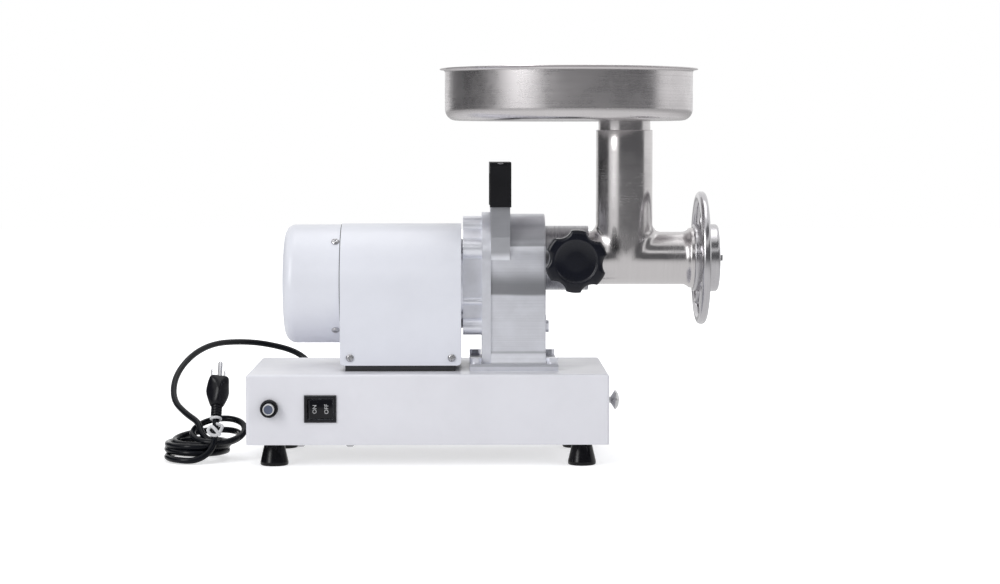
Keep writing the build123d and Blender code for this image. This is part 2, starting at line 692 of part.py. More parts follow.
def motor_cover():
    """Folded cover with end walls, open below."""
    cover = arch(COVER_RADIUS, MOTOR_AXIS_Z, COVER_BOTTOM_Z, cover_left, cover_right)
    corners = cover.edges().filter_by(Axis.Y).group_by(Axis.Z)[0]
    cover = fillet(corners, COVER_CORNER)
    cover -= arch(
        COVER_RADIUS - COVER_WALL, MOTOR_AXIS_Z, COVER_BOTTOM_Z - 1,
        cover_left + COVER_WALL, cover_right - COVER_WALL,
    )
    cover -= rod_x(CAP_RADIUS - CAP_WALL, cover_left - 1, cover_left + 5, 0, MOTOR_AXIS_Z)
    cover -= rod_x(STATOR_RADIUS - 2, cover_right - 5, cover_right + 1, 0, MOTOR_AXIS_Z)
    for y, z in tie_rod_places:
        cover -= rod_x(STATOR_POST_RADIUS + GAP, cover_right - 5, cover_right + 1, y, z)
    for x, side in cover_screws:
        start = side * (COVER_RADIUS - 3)
        plane = Plane(origin=(x, start, COVER_SCREW_Z), x_dir=(1, 0, 0), z_dir=(0, side, 0))
        cover -= plane * extrude(Circle(SCREW_HOLE), 5)
    return cover


def motor_saddle():
    """Channel on the base whose flanges stand inside the cover and take its screws."""
    half = COVER_RADIUS - COVER_WALL
    left = cover_left + COVER_WALL + 4
    right = cover_right - COVER_WALL - 4
    saddle = block(left, right, -half, half, base_top, COVER_SCREW_Z + 6)
    saddle -= block(
        left - 1, right + 1, SADDLE_WALL - half, half - SADDLE_WALL, base_top + SADDLE_WALL, COVER_SCREW_Z + 7
    )
    for x, side in cover_screws:
        plane = Plane(origin=(x, side * (half - 5), COVER_SCREW_Z), x_dir=(1, 0, 0), z_dir=(0, side, 0))
        saddle -= plane * extrude(Circle(SCREW_RADIUS), 7)
    for x, y in saddle_screws:
        saddle -= rod_z(SCREW_HOLE, x, y, base_top - 1, base_top + SADDLE_WALL + 1)
    return saddle


def rear_bracket():
    """Spider that carries the rear bearing, the brush holders and the end cap, on a foot."""
    ring_outer = CAP_RADIUS - CAP_WALL - GAP
    ring_left = cap_screw_x - 4
    web_right = bracket_left + bracket_web
    bracket = rod_x(ring_outer, ring_left, web_right, 0, MOTOR_AXIS_Z)
    bracket -= rod_x(ring_outer - 5, ring_left - 1, bracket_left, 0, MOTOR_AXIS_Z)
    window = ring_sector(18, ring_outer - 9, -22, 22, bracket_left - 1, web_right + 1, MOTOR_AXIS_Z)
    for turn in (45, 135, 225, 315):
        bracket -= Pos(0, 0, MOTOR_AXIS_Z) * Rot(turn + 45, 0, 0) * Pos(0, 0, -MOTOR_AXIS_Z) * window
    for y, z in tie_rod_places:
        bracket += rod_x(STATOR_POST_RADIUS, bracket_left, stator_left, y, z)
    for y, z in brush_places:
        bracket += block(bracket_left, web_right, y - 12, y + 12, z - 8, z + 8)
    bracket += rod_x(15, bracket_left, bracket_left + BALL_BEARING[2] + 2, 0, MOTOR_AXIS_Z)
    bracket -= rod_x(BALL_BEARING[0] + FIT, bracket_left + 1.5, bracket_left + 20, 0, MOTOR_AXIS_Z)
    bracket -= rod_x(7, bracket_left - 1, bracket_left + 2, 0, MOTOR_AXIS_Z)
    foot_top = MOTOR_AXIS_Z - ring_outer + 4
    bracket += block(cover_left + COVER_WALL + 4, web_right, -20, 20, base_top + SADDLE_WALL, foot_top)
    for y, z in tie_rod_places:
        bracket -= rod_x(TIE_ROD_RADIUS + FIT, bracket_left - 1, stator_left + 1, y, z)
    for angle in cap_screw_angles:
        bracket -= radial_plane(angle, CAP_RADIUS - 9) * extrude(Circle(SCREW_RADIUS), 10)
    return bracket


def brush_holders():
    """Two insulated boxes that guide the carbon brushes."""
    holders = []
    web_right = bracket_left + bracket_web
    for y, z in brush_places:
        holder = block(web_right, brush_right + 2, y - 11, y + 11, z - 6, z + 6)
        holder -= block(brush_left - GAP, brush_right + GAP, y - 12, y + 12, z - 3 - GAP, z + 3 + GAP)
        holders.append(holder)
    return joined(holders)


def carbon_brushes():
    """Two carbon blocks on the commutator."""
    brushes = []
    for side in (-1, 1):
        near = side * (COMMUTATOR_RADIUS + GAP)
        far = side * (COMMUTATOR_RADIUS + 20)
        y0, y1 = min(near, far), max(near, far)
        brushes.append(block(brush_left, brush_right, y0, y1, MOTOR_AXIS_Z - 3, MOTOR_AXIS_Z + 3))
    return joined(brushes)


def stator_core():
    """Laminated two-pole core with windows for the field coils."""
    core = rod_x(STATOR_RADIUS, stator_left, STATOR_RIGHT, 0, MOTOR_AXIS_Z)
    core -= rod_x(ARMATURE_RADIUS + AIR_GAP, stator_left - 1, STATOR_RIGHT + 1, 0, MOTOR_AXIS_Z)
    for middle in (0, 180):
        core -= ring_sector(
            COIL_INNER_RADIUS - GAP - 2.2, COIL_OUTER_RADIUS + GAP,
            middle - COIL_POLE - 1, middle + COIL_POLE + 1,
            stator_left - 1, STATOR_RIGHT + 1, MOTOR_AXIS_Z,
        )
    for y, z in tie_rod_places:
        core -= rod_x(TIE_ROD_RADIUS + FIT, stator_left - 1, STATOR_RIGHT + 1, y, z)
    return core


def field_coils():
    """Two coils around the poles, above and below the armature."""
    coils = []
    for middle in (90, 270):
        half = 90 - COIL_START
        coil = ring_sector(
            COIL_INNER_RADIUS, COIL_OUTER_RADIUS, middle - half, middle + half,
            stator_left - COIL_OVERHANG, STATOR_RIGHT + COIL_OVERHANG, MOTOR_AXIS_Z,
        )
        half = 90 - COIL_POLE
        coil -= ring_sector(
            COIL_INNER_RADIUS - 1, COIL_OUTER_RADIUS + 1, middle - half, middle + half,
            stator_left - GAP, STATOR_RIGHT + GAP, MOTOR_AXIS_Z,
        )
        coils.append(coil)
    return joined(coils)


def bearing(outer, bore, width, x0, z):
    """Ball bearing as one ring with a recess between its races on both sides."""
    race = (outer - bore) / 3
    ring = rod_x(outer, x0, x0 + width, 0, z) - rod_x(bore, x0 - 1, x0 + width + 1, 0, z)
    for start in (x0 - 1, x0 + width - 0.6):
        recess = rod_x(outer - race, start, start + 1.6, 0, z) - rod_x(bore + race, start - 1, start + 3, 0, z)
        ring -= recess
    return ring


def ball_bearings():
    """Two motor bearings and the output bearing."""
    outer, bore, width = BALL_BEARING
    return joined([
        bearing(outer, bore, width, bracket_left + 1.5, MOTOR_AXIS_Z),
        bearing(outer, bore, width, end_bell_left + 1.4, MOTOR_AXIS_Z),
        bearing(*OUTPUT_BEARING, bearing_left, OUTPUT_AXIS_Z),
    ])


def end_bell():
    """Motor's front casting: bearing seat, posts for the stator and bosses for the gearbox screws."""
    body = arch(END_BELL_HALF_WIDTH, OUTPUT_AXIS_Z, END_BELL_BOTTOM_Z, end_bell_left, 0)
    for y, z in boss_upper[:2]:
        body += rod_x(10.0, end_bell_left, 0, y, z)
    for y, z in boss_upper[2:]:
        body += rod_x(8.2, end_bell_left, 0, y, z)
    for y, z in boss_lower:
        body += rod_x(8.2, end_bell_left, 0, y, z)
    for side in (-1, 1):
        body += rod_x(END_BELL_RIB_RADIUS, end_bell_left, 0, side * END_BELL_RIB[0], END_BELL_RIB[1])
    spigot = rod_x(STATOR_RADIUS - 2 - GAP, cover_right - COVER_WALL - 1, end_bell_left, 0, MOTOR_AXIS_Z)
    body += spigot
    body -= rod_x(END_BELL_BORE, cover_right - COVER_WALL - 2, -7, 0, MOTOR_AXIS_Z)
    body += rod_x(15, end_bell_left, -7, 0, MOTOR_AXIS_Z)
    for y, z in tie_rod_places:
        body += rod_x(STATOR_POST_RADIUS, STATOR_RIGHT, end_bell_left, y, z)
    seat_end = end_bell_left + 1.4 + BALL_BEARING[2]
    body -= rod_x(BALL_BEARING[0] + FIT, end_bell_left - 1, seat_end, 0, MOTOR_AXIS_Z)
    body -= rod_x(6, end_bell_left - 1, 1, 0, MOTOR_AXIS_Z)
    for y, z in tie_rod_places:
        body -= rod_x(TIE_ROD_RADIUS + FIT, STATOR_RIGHT - 1, -4.0, y, z)
    for y, z in boss_upper:
        body -= rod_x(SCREW_HOLE, end_bell_left - 1, 1, y, z)
        body -= rod_x(SCREW_HEAD_RADIUS + GAP, end_bell_left - 1, end_bell_left + 5, y, z)
    for y, z in boss_lower:
        body -= rod_x(BOLT_HOLE, -12, 1, y, z)
    return body


def motor_shaft():
    """Motor shaft with a thinner end for the pinion."""
    shaft = rod_x(MOTOR_SHAFT_RADIUS, cap_left + FAN_INSET, 7, 0, MOTOR_AXIS_Z)
    return shaft + rod_x(PINION_SHAFT_RADIUS, 7, GEAR_PLANES[0][1] + 0.6, 0, MOTOR_AXIS_Z)


def armature():
    """Slotted laminated core."""
    core = rod_x(ARMATURE_RADIUS, stator_left, STATOR_RIGHT, 0, MOTOR_AXIS_Z)
    core -= rod_x(MOTOR_SHAFT_RADIUS + FIT / 2, stator_left - 1, STATOR_RIGHT + 1, 0, MOTOR_AXIS_Z)
    slot = block(stator_left - 1, STATOR_RIGHT + 1, 17.0, ARMATURE_RADIUS + 1, -1.0, 1.0)
    for turn in range(12):
        core -= Pos(0, 0, MOTOR_AXIS_Z) * Rot(turn * 30, 0, 0) * slot
    return core


def armature_windings():
    """End turns of the winding on both sides of the core."""
    ends = []
    for x0, x1 in ((stator_left - 8, stator_left), (STATOR_RIGHT, STATOR_RIGHT + 8)):
        end = rod_x(18.5, x0, x1, 0, MOTOR_AXIS_Z)
        far = 0 if x0 < stator_left else -1
        end = fillet(end.edges().filter_by(GeomType.CIRCLE).sort_by(Axis.X)[far], 3.0)
        ends.append(end - rod_x(MOTOR_SHAFT_RADIUS + FIT / 2, x0 - 1, x1 + 1, 0, MOTOR_AXIS_Z))
    return joined(ends)


def commutator():
    """Copper drum with grooves between its bars."""
    right = commutator_right
    left = right - COMMUTATOR_LENGTH
    drum = rod_x(COMMUTATOR_RADIUS, left, right, 0, MOTOR_AXIS_Z)
    drum -= rod_x(MOTOR_SHAFT_RADIUS + FIT / 2, left - 1, right + 1, 0, MOTOR_AXIS_Z)
    groove = block(left - 1, right + 1, COMMUTATOR_RADIUS - 0.8, COMMUTATOR_RADIUS + 1, -0.4, 0.4)
    for turn in range(12):
        drum -= Pos(0, 0, MOTOR_AXIS_Z) * Rot(turn * 30, 0, 0) * groove
    return drum


def cooling_fan():
    """Radial fan on the rear end of the shaft."""
    left = cap_left + FAN_INSET
    right = left + FAN_LENGTH
    fan = rod_x(9, left, right, 0, MOTOR_AXIS_Z) + rod_x(FAN_RADIUS, right - 2, right, 0, MOTOR_AXIS_Z)
    blade = block(left + 2, right - 2, 8, FAN_RADIUS, -0.75, 0.75)
    for turn in range(10):
        fan += Pos(0, 0, MOTOR_AXIS_Z) * Rot(turn * 36, 0, 0) * blade
    return fan - rod_x(MOTOR_SHAFT_RADIUS + FIT / 2, left - 1, right + 1, 0, MOTOR_AXIS_Z)


# ---------------------------------------------------------------- gearbox
plate_pocket = 3.0          # bushes in the back plate start here
first_shaft = (plate_pocket + 0.4, CARRIER_X[1] - 0.4)
second_shaft = (plate_pocket + 0.4, cavity_right + 2.4)
bushes = [
    (COUNTERSHAFT_RADIUS[0], plate_pocket, PLATE_THICKNESS, FIRST_CENTRE),
    (COUNTERSHAFT_RADIUS[0], CARRIER_X[0], CARRIER_X[1], FIRST_CENTRE),
    (COUNTERSHAFT_RADIUS[1], plate_pocket, PLATE_THICKNESS, SECOND_CENTRE),
    (COUNTERSHAFT_RADIUS[1], cavity_right - 2, cavity_right + 2.8, SECOND_CENTRE),
    (OUTPUT_TAIL_RADIUS, plate_pocket, PLATE_THICKNESS, OUTPUT_CENTRE),
]


def bush_pocket(solid, radius, x0, x1, centre):
    """Cut the seat of one bush."""
    return solid - rod_x(radius + BUSH_WALL + FIT / 2, x0, x1, *centre)


def case_back_plate():
    """Plate between motor and gear case with the rear seats of the gear shafts."""
    plate = arch(PLATE_RADIUS, OUTPUT_AXIS_Z, flange_top, 0, PLATE_THICKNESS)
    plate -= rod_x(8, -1, PLATE_THICKNESS + 1, *MOTOR_CENTRE)
    for radius, x0, x1, centre in bushes:
        if x0 == plate_pocket:
            plate = bush_pocket(plate, radius, x0, x1 + 1, centre)
    for y, z in boss_upper:
        plate -= rod_x(SCREW_HOLE, -1, PLATE_THICKNESS + 1, y, z)
    for y, z in boss_lower:
        plate -= rod_x(BOLT_HOLE, -1, PLATE_THICKNESS + 1, y, z)
    return plate


def gear_case():
    """Casting with foot flange, gear chambers and the two arms of the carrying handle."""
    case = arch(CASE_RADIUS, OUTPUT_AXIS_Z, flange_top, case_left, case_right)
    case = fillet(case.edges().filter_by(GeomType.CIRCLE).sort_by(Axis.X)[-1], 1.5)
    case += block(-FLANGE_LEFT, FLANGE_RIGHT, -FLANGE_DEPTH / 2, FLANGE_DEPTH / 2, base_top, flange_top)
    skirt = make_face(Polyline(
        (-CASE_RADIUS, CASE_SKIRT_TOP_Z), (-CASE_RADIUS - CASE_SKIRT_REACH, flange_top),
        (CASE_RADIUS + CASE_SKIRT_REACH, flange_top), (CASE_RADIUS, CASE_SKIRT_TOP_Z), close=True,
    ))
    case += extrude(along_x(case_left, 0, 0) * skirt, CASE_LENGTH)
    for side in (-1, 1):
        near = side * (CASE_RADIUS - 2)
        far = side * (CASE_RADIUS + ARM_THICKNESS)
        arm = block(
            case_left, case_left + ARM_WIDTH, min(near, far), max(near, far),
            OUTPUT_AXIS_Z, GRIP_TOP_Z - GRIP_WALL,
        )
        taper = make_face(Polyline(
            (0, OUTPUT_AXIS_Z - 1), (far, OUTPUT_AXIS_Z - 1), (far, OUTPUT_AXIS_Z + 22),
            (side * CASE_RADIUS, OUTPUT_AXIS_Z - 1), close=True,
        ))
        arm -= extrude(along_x(case_left - 1, 0, 0) * taper, ARM_WIDTH + 2)
        case += arm
        arm_top = GRIP_TOP_Z - GRIP_WALL
        case -= rod_z(SCREW_RADIUS - 0.3, arm_middle, side * arm_centre, arm_top - 14, GRIP_TOP_Z)
    rear = arch(case_inner, OUTPUT_AXIS_Z, CASE_FLOOR_Z, case_left - 1, CARRIER_X[1])
    front = arch(front_inner, OUTPUT_AXIS_Z, CASE_FLOOR_Z + CASE_STEP, CARRIER_X[1], cavity_right)
    cavity = rear + front
    for y, z in boss_upper:
        cavity -= rod_x(6, case_left - 2, case_left + 12.4, y, z)
    for y, z in boss_lower:
        cavity -= rod_x(6.5, case_left - 2, cavity_right + 1, y, z)
    cavity -= rod_x(COUNTERSHAFT_RADIUS[1] + BUSH_WALL + 2, cavity_right - 2, cavity_right + 1, *SECOND_CENTRE)
    case -= cavity
    case = bush_pocket(case, *bushes[3])
    case -= rod_x(OUTPUT_SHAFT_RADIUS + 2, cavity_right - 1, case_right + 1, *OUTPUT_CENTRE)
    for y, z in boss_upper:
        case -= rod_x(SCREW_RADIUS, case_left - 1, case_left + 11, y, z)
    for y, z in boss_lower:
        case -= rod_x(BOLT_HOLE, case_left - 1, case_right + 1, y, z)
    for x, y in ground_bolts:
        case -= rod_z(BOLT_HOLE, x, y, base_top - 1, flange_top + 1)
    for y, z in hub_screws:
        case -= rod_x(SCREW_HOLE, cavity_right - 1, case_right + 1, y, z)
    return case


def bearing_carrier():
    """Plate on the step inside the case that carries the first countershaft's right end."""
    plate = arch(case_inner - GAP, OUTPUT_AXIS_Z, CASE_FLOOR_Z + GAP, *CARRIER_X)
    for y, z in boss_lower:
        plate -= rod_x(6.5 + GAP, CARRIER_X[0] - 1, CARRIER_X[1] + 1, y, z)
    plate = bush_pocket(plate, COUNTERSHAFT_RADIUS[0], CARRIER_X[0] - 1, CARRIER_X[1] + 1, FIRST_CENTRE)
    plate -= rod_x(COUNTERSHAFT_RADIUS[1] + 2, CARRIER_X[0] - 1, CARRIER_X[1] + 1, *SECOND_CENTRE)
    return plate - rod_x(OUTPUT_TAIL_RADIUS + 2, CARRIER_X[0] - 1, CARRIER_X[1] + 1, *OUTPUT_CENTRE)


def gearbox_bushes():
    """Bronze bushes of the gear shafts."""
    return joined([
        rod_x(radius + BUSH_WALL, x0, x1, *centre) - rod_x(radius + FIT / 2, x0 - 1, x1 + 1, *centre)
        for radius, x0, x1, centre in bushes
    ])


def motor_pinion():
    """First pinion, on the thin end of the motor shaft."""
    x0, x1 = GEAR_PLANES[0]
    bore = PINION_SHAFT_RADIUS + FIT / 2
    return gear(PINION_TEETH, GEAR_MODULE[0], PHASE_MOTOR, x0 - 0.5, x1 + 0.3, MOTOR_CENTRE, bore)


def first_gear():
    """Gear driven by the motor pinion."""
    return gear(
        GEAR_TEETH[0], GEAR_MODULE[0], PHASE_FIRST, *GEAR_PLANES[0],
        FIRST_CENTRE, COUNTERSHAFT_RADIUS[0] + FIT / 2,
    )


def first_countershaft():
    """Shaft with the second pinion cut on it."""
    x0, x1 = GEAR_PLANES[1]
    pinion = gear(PINION_TEETH, GEAR_MODULE[1], 0.0, x0 - 0.5, x1 + 0.5, FIRST_CENTRE, 0)
    return rod_x(COUNTERSHAFT_RADIUS[0], *first_shaft, *FIRST_CENTRE) + pinion


def second_gear():
    """Gear driven by the first countershaft."""
    return gear(
        GEAR_TEETH[1], GEAR_MODULE[1], PHASE_SECOND, *GEAR_PLANES[1],
        SECOND_CENTRE, COUNTERSHAFT_RADIUS[1] + FIT / 2,
    )


def second_countershaft():
    """Shaft with the third pinion cut on it."""
    x0, x1 = GEAR_PLANES[2]
    pinion = gear(PINION_TEETH, GEAR_MODULE[2], 0.0, x0 - 0.5, x1 + 0.5, SECOND_CENTRE, 0)
    return rod_x(COUNTERSHAFT_RADIUS[1], *second_shaft, *SECOND_CENTRE) + pinion


def output_gear():
    """Last gear, lightened by a ring of holes."""
    x0, x1 = GEAR_PLANES[2]
    bore = OUTPUT_SEAT_RADIUS + FIT / 2
    wheel = gear(GEAR_TEETH[2], GEAR_MODULE[2], PHASE_OUTPUT, x0, x1, OUTPUT_CENTRE, bore)
    for turn in range(6):
        angle = radians(60 * turn)
        wheel -= rod_x(5, x0 - 1, x1 + 1, 21 * cos(angle), OUTPUT_AXIS_Z + 21 * sin(angle))
    return wheel


def output_shaft():
    """Output shaft with the square socket that drives the auger."""
    shaft = rod_x(OUTPUT_TAIL_RADIUS, plate_pocket + 0.4, GEAR_PLANES[2][0] - 1, *OUTPUT_CENTRE)
    shaft += rod_x(OUTPUT_SEAT_RADIUS, GEAR_PLANES[2][0] - 1, GEAR_PLANES[2][1] + 0.5, *OUTPUT_CENTRE)
    shaft += rod_x(OUTPUT_SHAFT_RADIUS, GEAR_PLANES[2][1] + 0.5, tail_left, *OUTPUT_CENTRE)
    shaft += rod_x(13.5, tail_left, SOCKET_RIGHT, *OUTPUT_CENTRE)
    half = SOCKET_HALF + GAP
    return shaft - block(
        SOCKET_RIGHT - SOCKET_DEPTH, SOCKET_RIGHT + 1, -half, half, OUTPUT_AXIS_Z - half, OUTPUT_AXIS_Z + half
    )


def hub_sleeve():
    """Sleeve on the case's front: bearing seat on the left, socket for the head on the right."""
    hub = rod_x(HUB_RADIUS - 1, hub_left, hub_left + 1, *OUTPUT_CENTRE)
    hub += rod_x(HUB_RADIUS, hub_left + 1, HUB_RIGHT, *OUTPUT_CENTRE)
    hub += rod_y(LOCK_BOSS_RADIUS, LOCK_X, OUTPUT_AXIS_Z, 0, -LOCK_BOSS_REACH)
    hub -= rod_x(OUTPUT_SHAFT_RADIUS + 3, hub_left - 1, bearing_left + 1, *OUTPUT_CENTRE)
    hub -= rod_x(OUTPUT_BEARING[0] + FIT, bearing_left, tail_left, *OUTPUT_CENTRE)
    hub -= rod_x(BARREL_RADIUS + GAP, tail_left - GAP, HUB_RIGHT + 1, *OUTPUT_CENTRE)
    hub -= rod_y(LOCK_STUD_RADIUS + FIT, LOCK_X, OUTPUT_AXIS_Z, 0, -LOCK_BOSS_REACH - 1)
    for y, z in hub_screws:
        hub -= rod_x(SCREW_RADIUS, hub_left - 1, hub_left + 9, y, z)
    return hub


def drive_bolts():
    """Long motor bolts, and the bolts of the foot flange, case to motor and hub to case."""
    pieces = [
        hex_bolt(Plane(origin=(bracket_left, y, z), z_dir=(-1, 0, 0)), TIE_ROD_RADIUS, 7.0, 2.8, -5.0 - bracket_left)
        for y, z in tie_rod_places
    ]
    nut = 5.0
    for x, y in ground_bolts:
        washer = rod_z(5.6, x, y, flange_top, flange_top + 1.6) - rod_z(BOLT_HOLE, x, y, 0, flange_top + 3)
        pieces.append(washer)
        top = flange_top + 1.6
        pieces.append(hex_bolt(Plane((x, y, top), z_dir=(0, 0, 1)), BOLT_RADIUS, 10.0, 4.0, top - base_top + SHEET + 6))
        pieces.append(hex_nut(x, y, base_top - SHEET - nut, nut, 10.0, BOLT_RADIUS + FIT))
    for y, z in boss_lower:
        pieces.append(hex_bolt(Plane((case_right, y, z), z_dir=(1, 0, 0)), BOLT_RADIUS, 10.0, 3.0, case_right + 11))
    for y, z in boss_upper:
        plane = Plane((end_bell_left + 5, y, z), z_dir=(-1, 0, 0))
        pieces.append(pan_screw(plane, case_left + 10 - end_bell_left - 5))
    for y, z in hub_screws:
        pieces.append(pan_screw(Plane((cavity_right, y, z), z_dir=(-1, 0, 0)), CASE_FRONT_WALL + 8))
    return joined(pieces)


def handle_grip():
    """Black grip: a bar between the arms with two sockets that slide over them."""
    half = arm_centre + ARM_THICKNESS / 2 + GRIP_WALL
    x0 = arm_middle - GRIP_WIDTH / 2
    x1 = arm_middle + GRIP_WIDTH / 2
    grip = block(x0, x1, -half, half, GRIP_BOTTOM_Z, GRIP_TOP_Z)
    inner = CASE_RADIUS - 3
    grip -= block(x0 - 1, x1 + 1, -inner, inner, GRIP_BOTTOM_Z - 1, GRIP_TOP_Z - GRIP_BAR)
    long_edges = grip.edges().filter_by(Axis.X).group_by(Axis.Z)[-1]
    grip = fillet(long_edges, 7.0)
    for side in (-1, 1):
        near = side * (CASE_RADIUS - 2 - FIT)
        far = side * (CASE_RADIUS + ARM_THICKNESS + FIT)
        grip -= block(
            case_left - FIT, case_left + ARM_WIDTH + FIT, min(near, far), max(near, far),
            GRIP_BOTTOM_Z - 1, GRIP_TOP_Z - GRIP_WALL,
        )
        grip -= rod_z(SCREW_HOLE, arm_middle, side * arm_centre, GRIP_TOP_Z - GRIP_WALL - 1, GRIP_TOP_Z + 1)
        seat_z = GRIP_TOP_Z - GRIP_SCREW_SEAT
        grip -= rod_z(SCREW_HEAD_RADIUS + GAP, arm_middle, side * arm_centre, seat_z, GRIP_TOP_Z + 1)
    return grip


# ---------------------------------------------------------------- lock knob
def lock_pad():
    """Brass pad ahead of the stud: it presses on the head's tail without turning."""
    back = -(BARREL_RADIUS + GAP)
    return rod_y(LOCK_STUD_RADIUS, LOCK_X, OUTPUT_AXIS_Z, back, back - LOCK_PAD_THICKNESS)


def lock_stud():
    """Threaded stud of the knob, behind the pad."""
    back = -(BARREL_RADIUS + GAP + LOCK_PAD_THICKNESS)
    return rod_y(LOCK_STUD_RADIUS, LOCK_X, OUTPUT_AXIS_Z, back, -KNOB_BACK - 8)


def lock_knob():
    """Six-lobed knob with a dished face and a skirt behind it."""
    outline = Circle(KNOB_RADIUS)
    for lobe in range(KNOB_LOBES):
        angle = radians(KNOB_FIRST_NOTCH + lobe * 360 / KNOB_LOBES)
        place = Pos(KNOB_NOTCH_CIRCLE * cos(angle), KNOB_NOTCH_CIRCLE * sin(angle))
        outline -= place * Circle(KNOB_NOTCH_RADIUS)
    body = extrude(towards_front(LOCK_X, -KNOB_BACK, OUTPUT_AXIS_Z) * outline, KNOB_THICKNESS)
    front = body.faces().sort_by(Axis.Y)[0]
    back = body.faces().sort_by(Axis.Y)[-1]
    body = fillet(front.edges() + back.edges(), 1.6)
    face_y = -KNOB_BACK - KNOB_THICKNESS
    body -= rod_y(KNOB_DISH_RADIUS, LOCK_X, OUTPUT_AXIS_Z, face_y + 1.5, face_y - 1)
    body += rod_y(KNOB_SKIRT_RADIUS, LOCK_X, OUTPUT_AXIS_Z, -LOCK_BOSS_REACH - 2, -KNOB_BACK - 1)
    return body - rod_y(LOCK_STUD_RADIUS + FIT / 2, LOCK_X, OUTPUT_AXIS_Z, 0, -KNOB_BACK - 8.5)


# ---------------------------------------------------------------- head
def feed_neck():
    """Neck in one skin: round above, spreading along the barrel at its foot."""
    crown = OUTPUT_AXIS_Z + BARREL_RADIUS
    top = crown + NECK_BLEND
    low = OUTPUT_AXIS_Z + 0.3 * BARREL_RADIUS
    rows = [(top + share * (NECK_TOP_Z - top), 0.0, 0.0) for share in (1.0, 0.75, 0.5, 0.25, 0.08)]
    for angle in (0, 30, 60, 80):
        spread = NECK_BLEND * (1 - cos(radians(angle)))
        rows.append((top - NECK_BLEND * sin(radians(angle)), spread, -0.25 * spread))
    rows.append((low + 0.55 * (crown - low), 0.7 * NECK_BLEND, BARREL_RADIUS - 1.0 - NECK_RADIUS))
    rows.append((low, 0.2 * NECK_BLEND, BARREL_RADIUS - 2.5 - NECK_RADIUS))
    return loft([
        Plane.XY.offset(z) * Pos(NECK_X, 0) * Ellipse(NECK_RADIUS + along, NECK_RADIUS + across)
        for z, along, across in rows
    ])


def grinder_head():
    """Barrel with a flared mouth, a feed neck and a tail that fits the hub."""
    tail = tail_left
    barrel = rod_x(BARREL_RADIUS, tail, MOUTH_RIGHT, *OUTPUT_CENTRE)
    barrel += feed_neck()
    flare_left = MOUTH_LEFT - FLARE_LENGTH
    barrel += turned_x([
        (flare_left, 0), (flare_left, BARREL_RADIUS), (flare_left + 0.6 * FLARE_LENGTH, BARREL_RADIUS + 1.0),
        (MOUTH_LEFT, MOUTH_RADIUS), (MOUTH_RIGHT, MOUTH_RADIUS), (MOUTH_RIGHT, 0),
    ], z=OUTPUT_AXIS_Z)
    barrel -= rod_x(CHAMBER_RADIUS, tail - 1, REAR_WALL_X[0], *OUTPUT_CENTRE)
    barrel -= rod_x(CHAMBER_RADIUS, REAR_WALL_X[1], MOUTH_RIGHT + 1, *OUTPUT_CENTRE)
    barrel -= rod_x(AUGER_SHANK_RADIUS + FIT, REAR_WALL_X[0] - 1, REAR_WALL_X[1] + 1, *OUTPUT_CENTRE)
    barrel -= rod_x(GRIND_PLATE_RADIUS + GAP, GRIND_PLATE_LEFT, MOUTH_RIGHT + 1, *OUTPUT_CENTRE)
    barrel -= rod_x(KNIFE_WELL_RADIUS, AUGER_RIGHT + 1.0, MOUTH_RIGHT, *OUTPUT_CENTRE)
    barrel -= rod_z(NECK_THROAT_RADIUS, NECK_X, 0, OUTPUT_AXIS_Z + 4, NECK_TOP_Z + 1) & block(
        NECK_X - 40, NECK_X + 40, -40, 40, OUTPUT_AXIS_Z + 6, NECK_TOP_Z + 2
    )
    barrel -= rod_z(STEM_RADIUS + GAP, NECK_X, 0, STEM_BOTTOM_Z, NECK_TOP_Z + 1)
    key = block(GRIND_PLATE_LEFT, MOUTH_RIGHT, -1.5, 1.5, key_bottom, key_bottom + 3.0)
    return barrel + key


def grinding_plate():
    """Perforated plate in the mouth of the head, held by its key."""
    right = GRIND_PLATE_LEFT + GRIND_PLATE_THICKNESS
    disc = Circle(GRIND_PLATE_RADIUS) - Circle(STUD_RADIUS + FIT)
    for circle, holes in ((9.5, 8), (15.5, 14), (21.5, 20)):
        disc -= PolarLocations(circle, holes) * Circle(2.25)
    disc -= Pos(0, -GRIND_PLATE_RADIUS) * Rectangle(3 + 2 * GAP, 2 * (2.0 + GAP))
    return extrude(along_x(GRIND_PLATE_LEFT, 0, OUTPUT_AXIS_Z) * disc, right - GRIND_PLATE_LEFT)


def auger_flight(left, right):
    """One helical flight whose root is sunk in the core."""
    root = AUGER_CORE_RADIUS - 1.5
    path = Helix(pitch=AUGER_PITCH, height=right - left, radius=root)
    depth = AUGER_FLIGHT_RADIUS - root
    thick_root, thick_tip = AUGER_FLIGHT_THICKNESS
    section = make_face(Polyline(
        (0, -thick_root / 2), (depth, -thick_tip / 2), (depth, thick_tip / 2), (0, thick_root / 2), close=True
    ))
    start = Plane(origin=path @ 0, x_dir=(1, 0, 0), z_dir=path % 0)
    flight = sweep(start * section, path=path, is_frenet=True)
    return Pos(left, 0, OUTPUT_AXIS_Z) * Rot(0, 90, 0) * flight


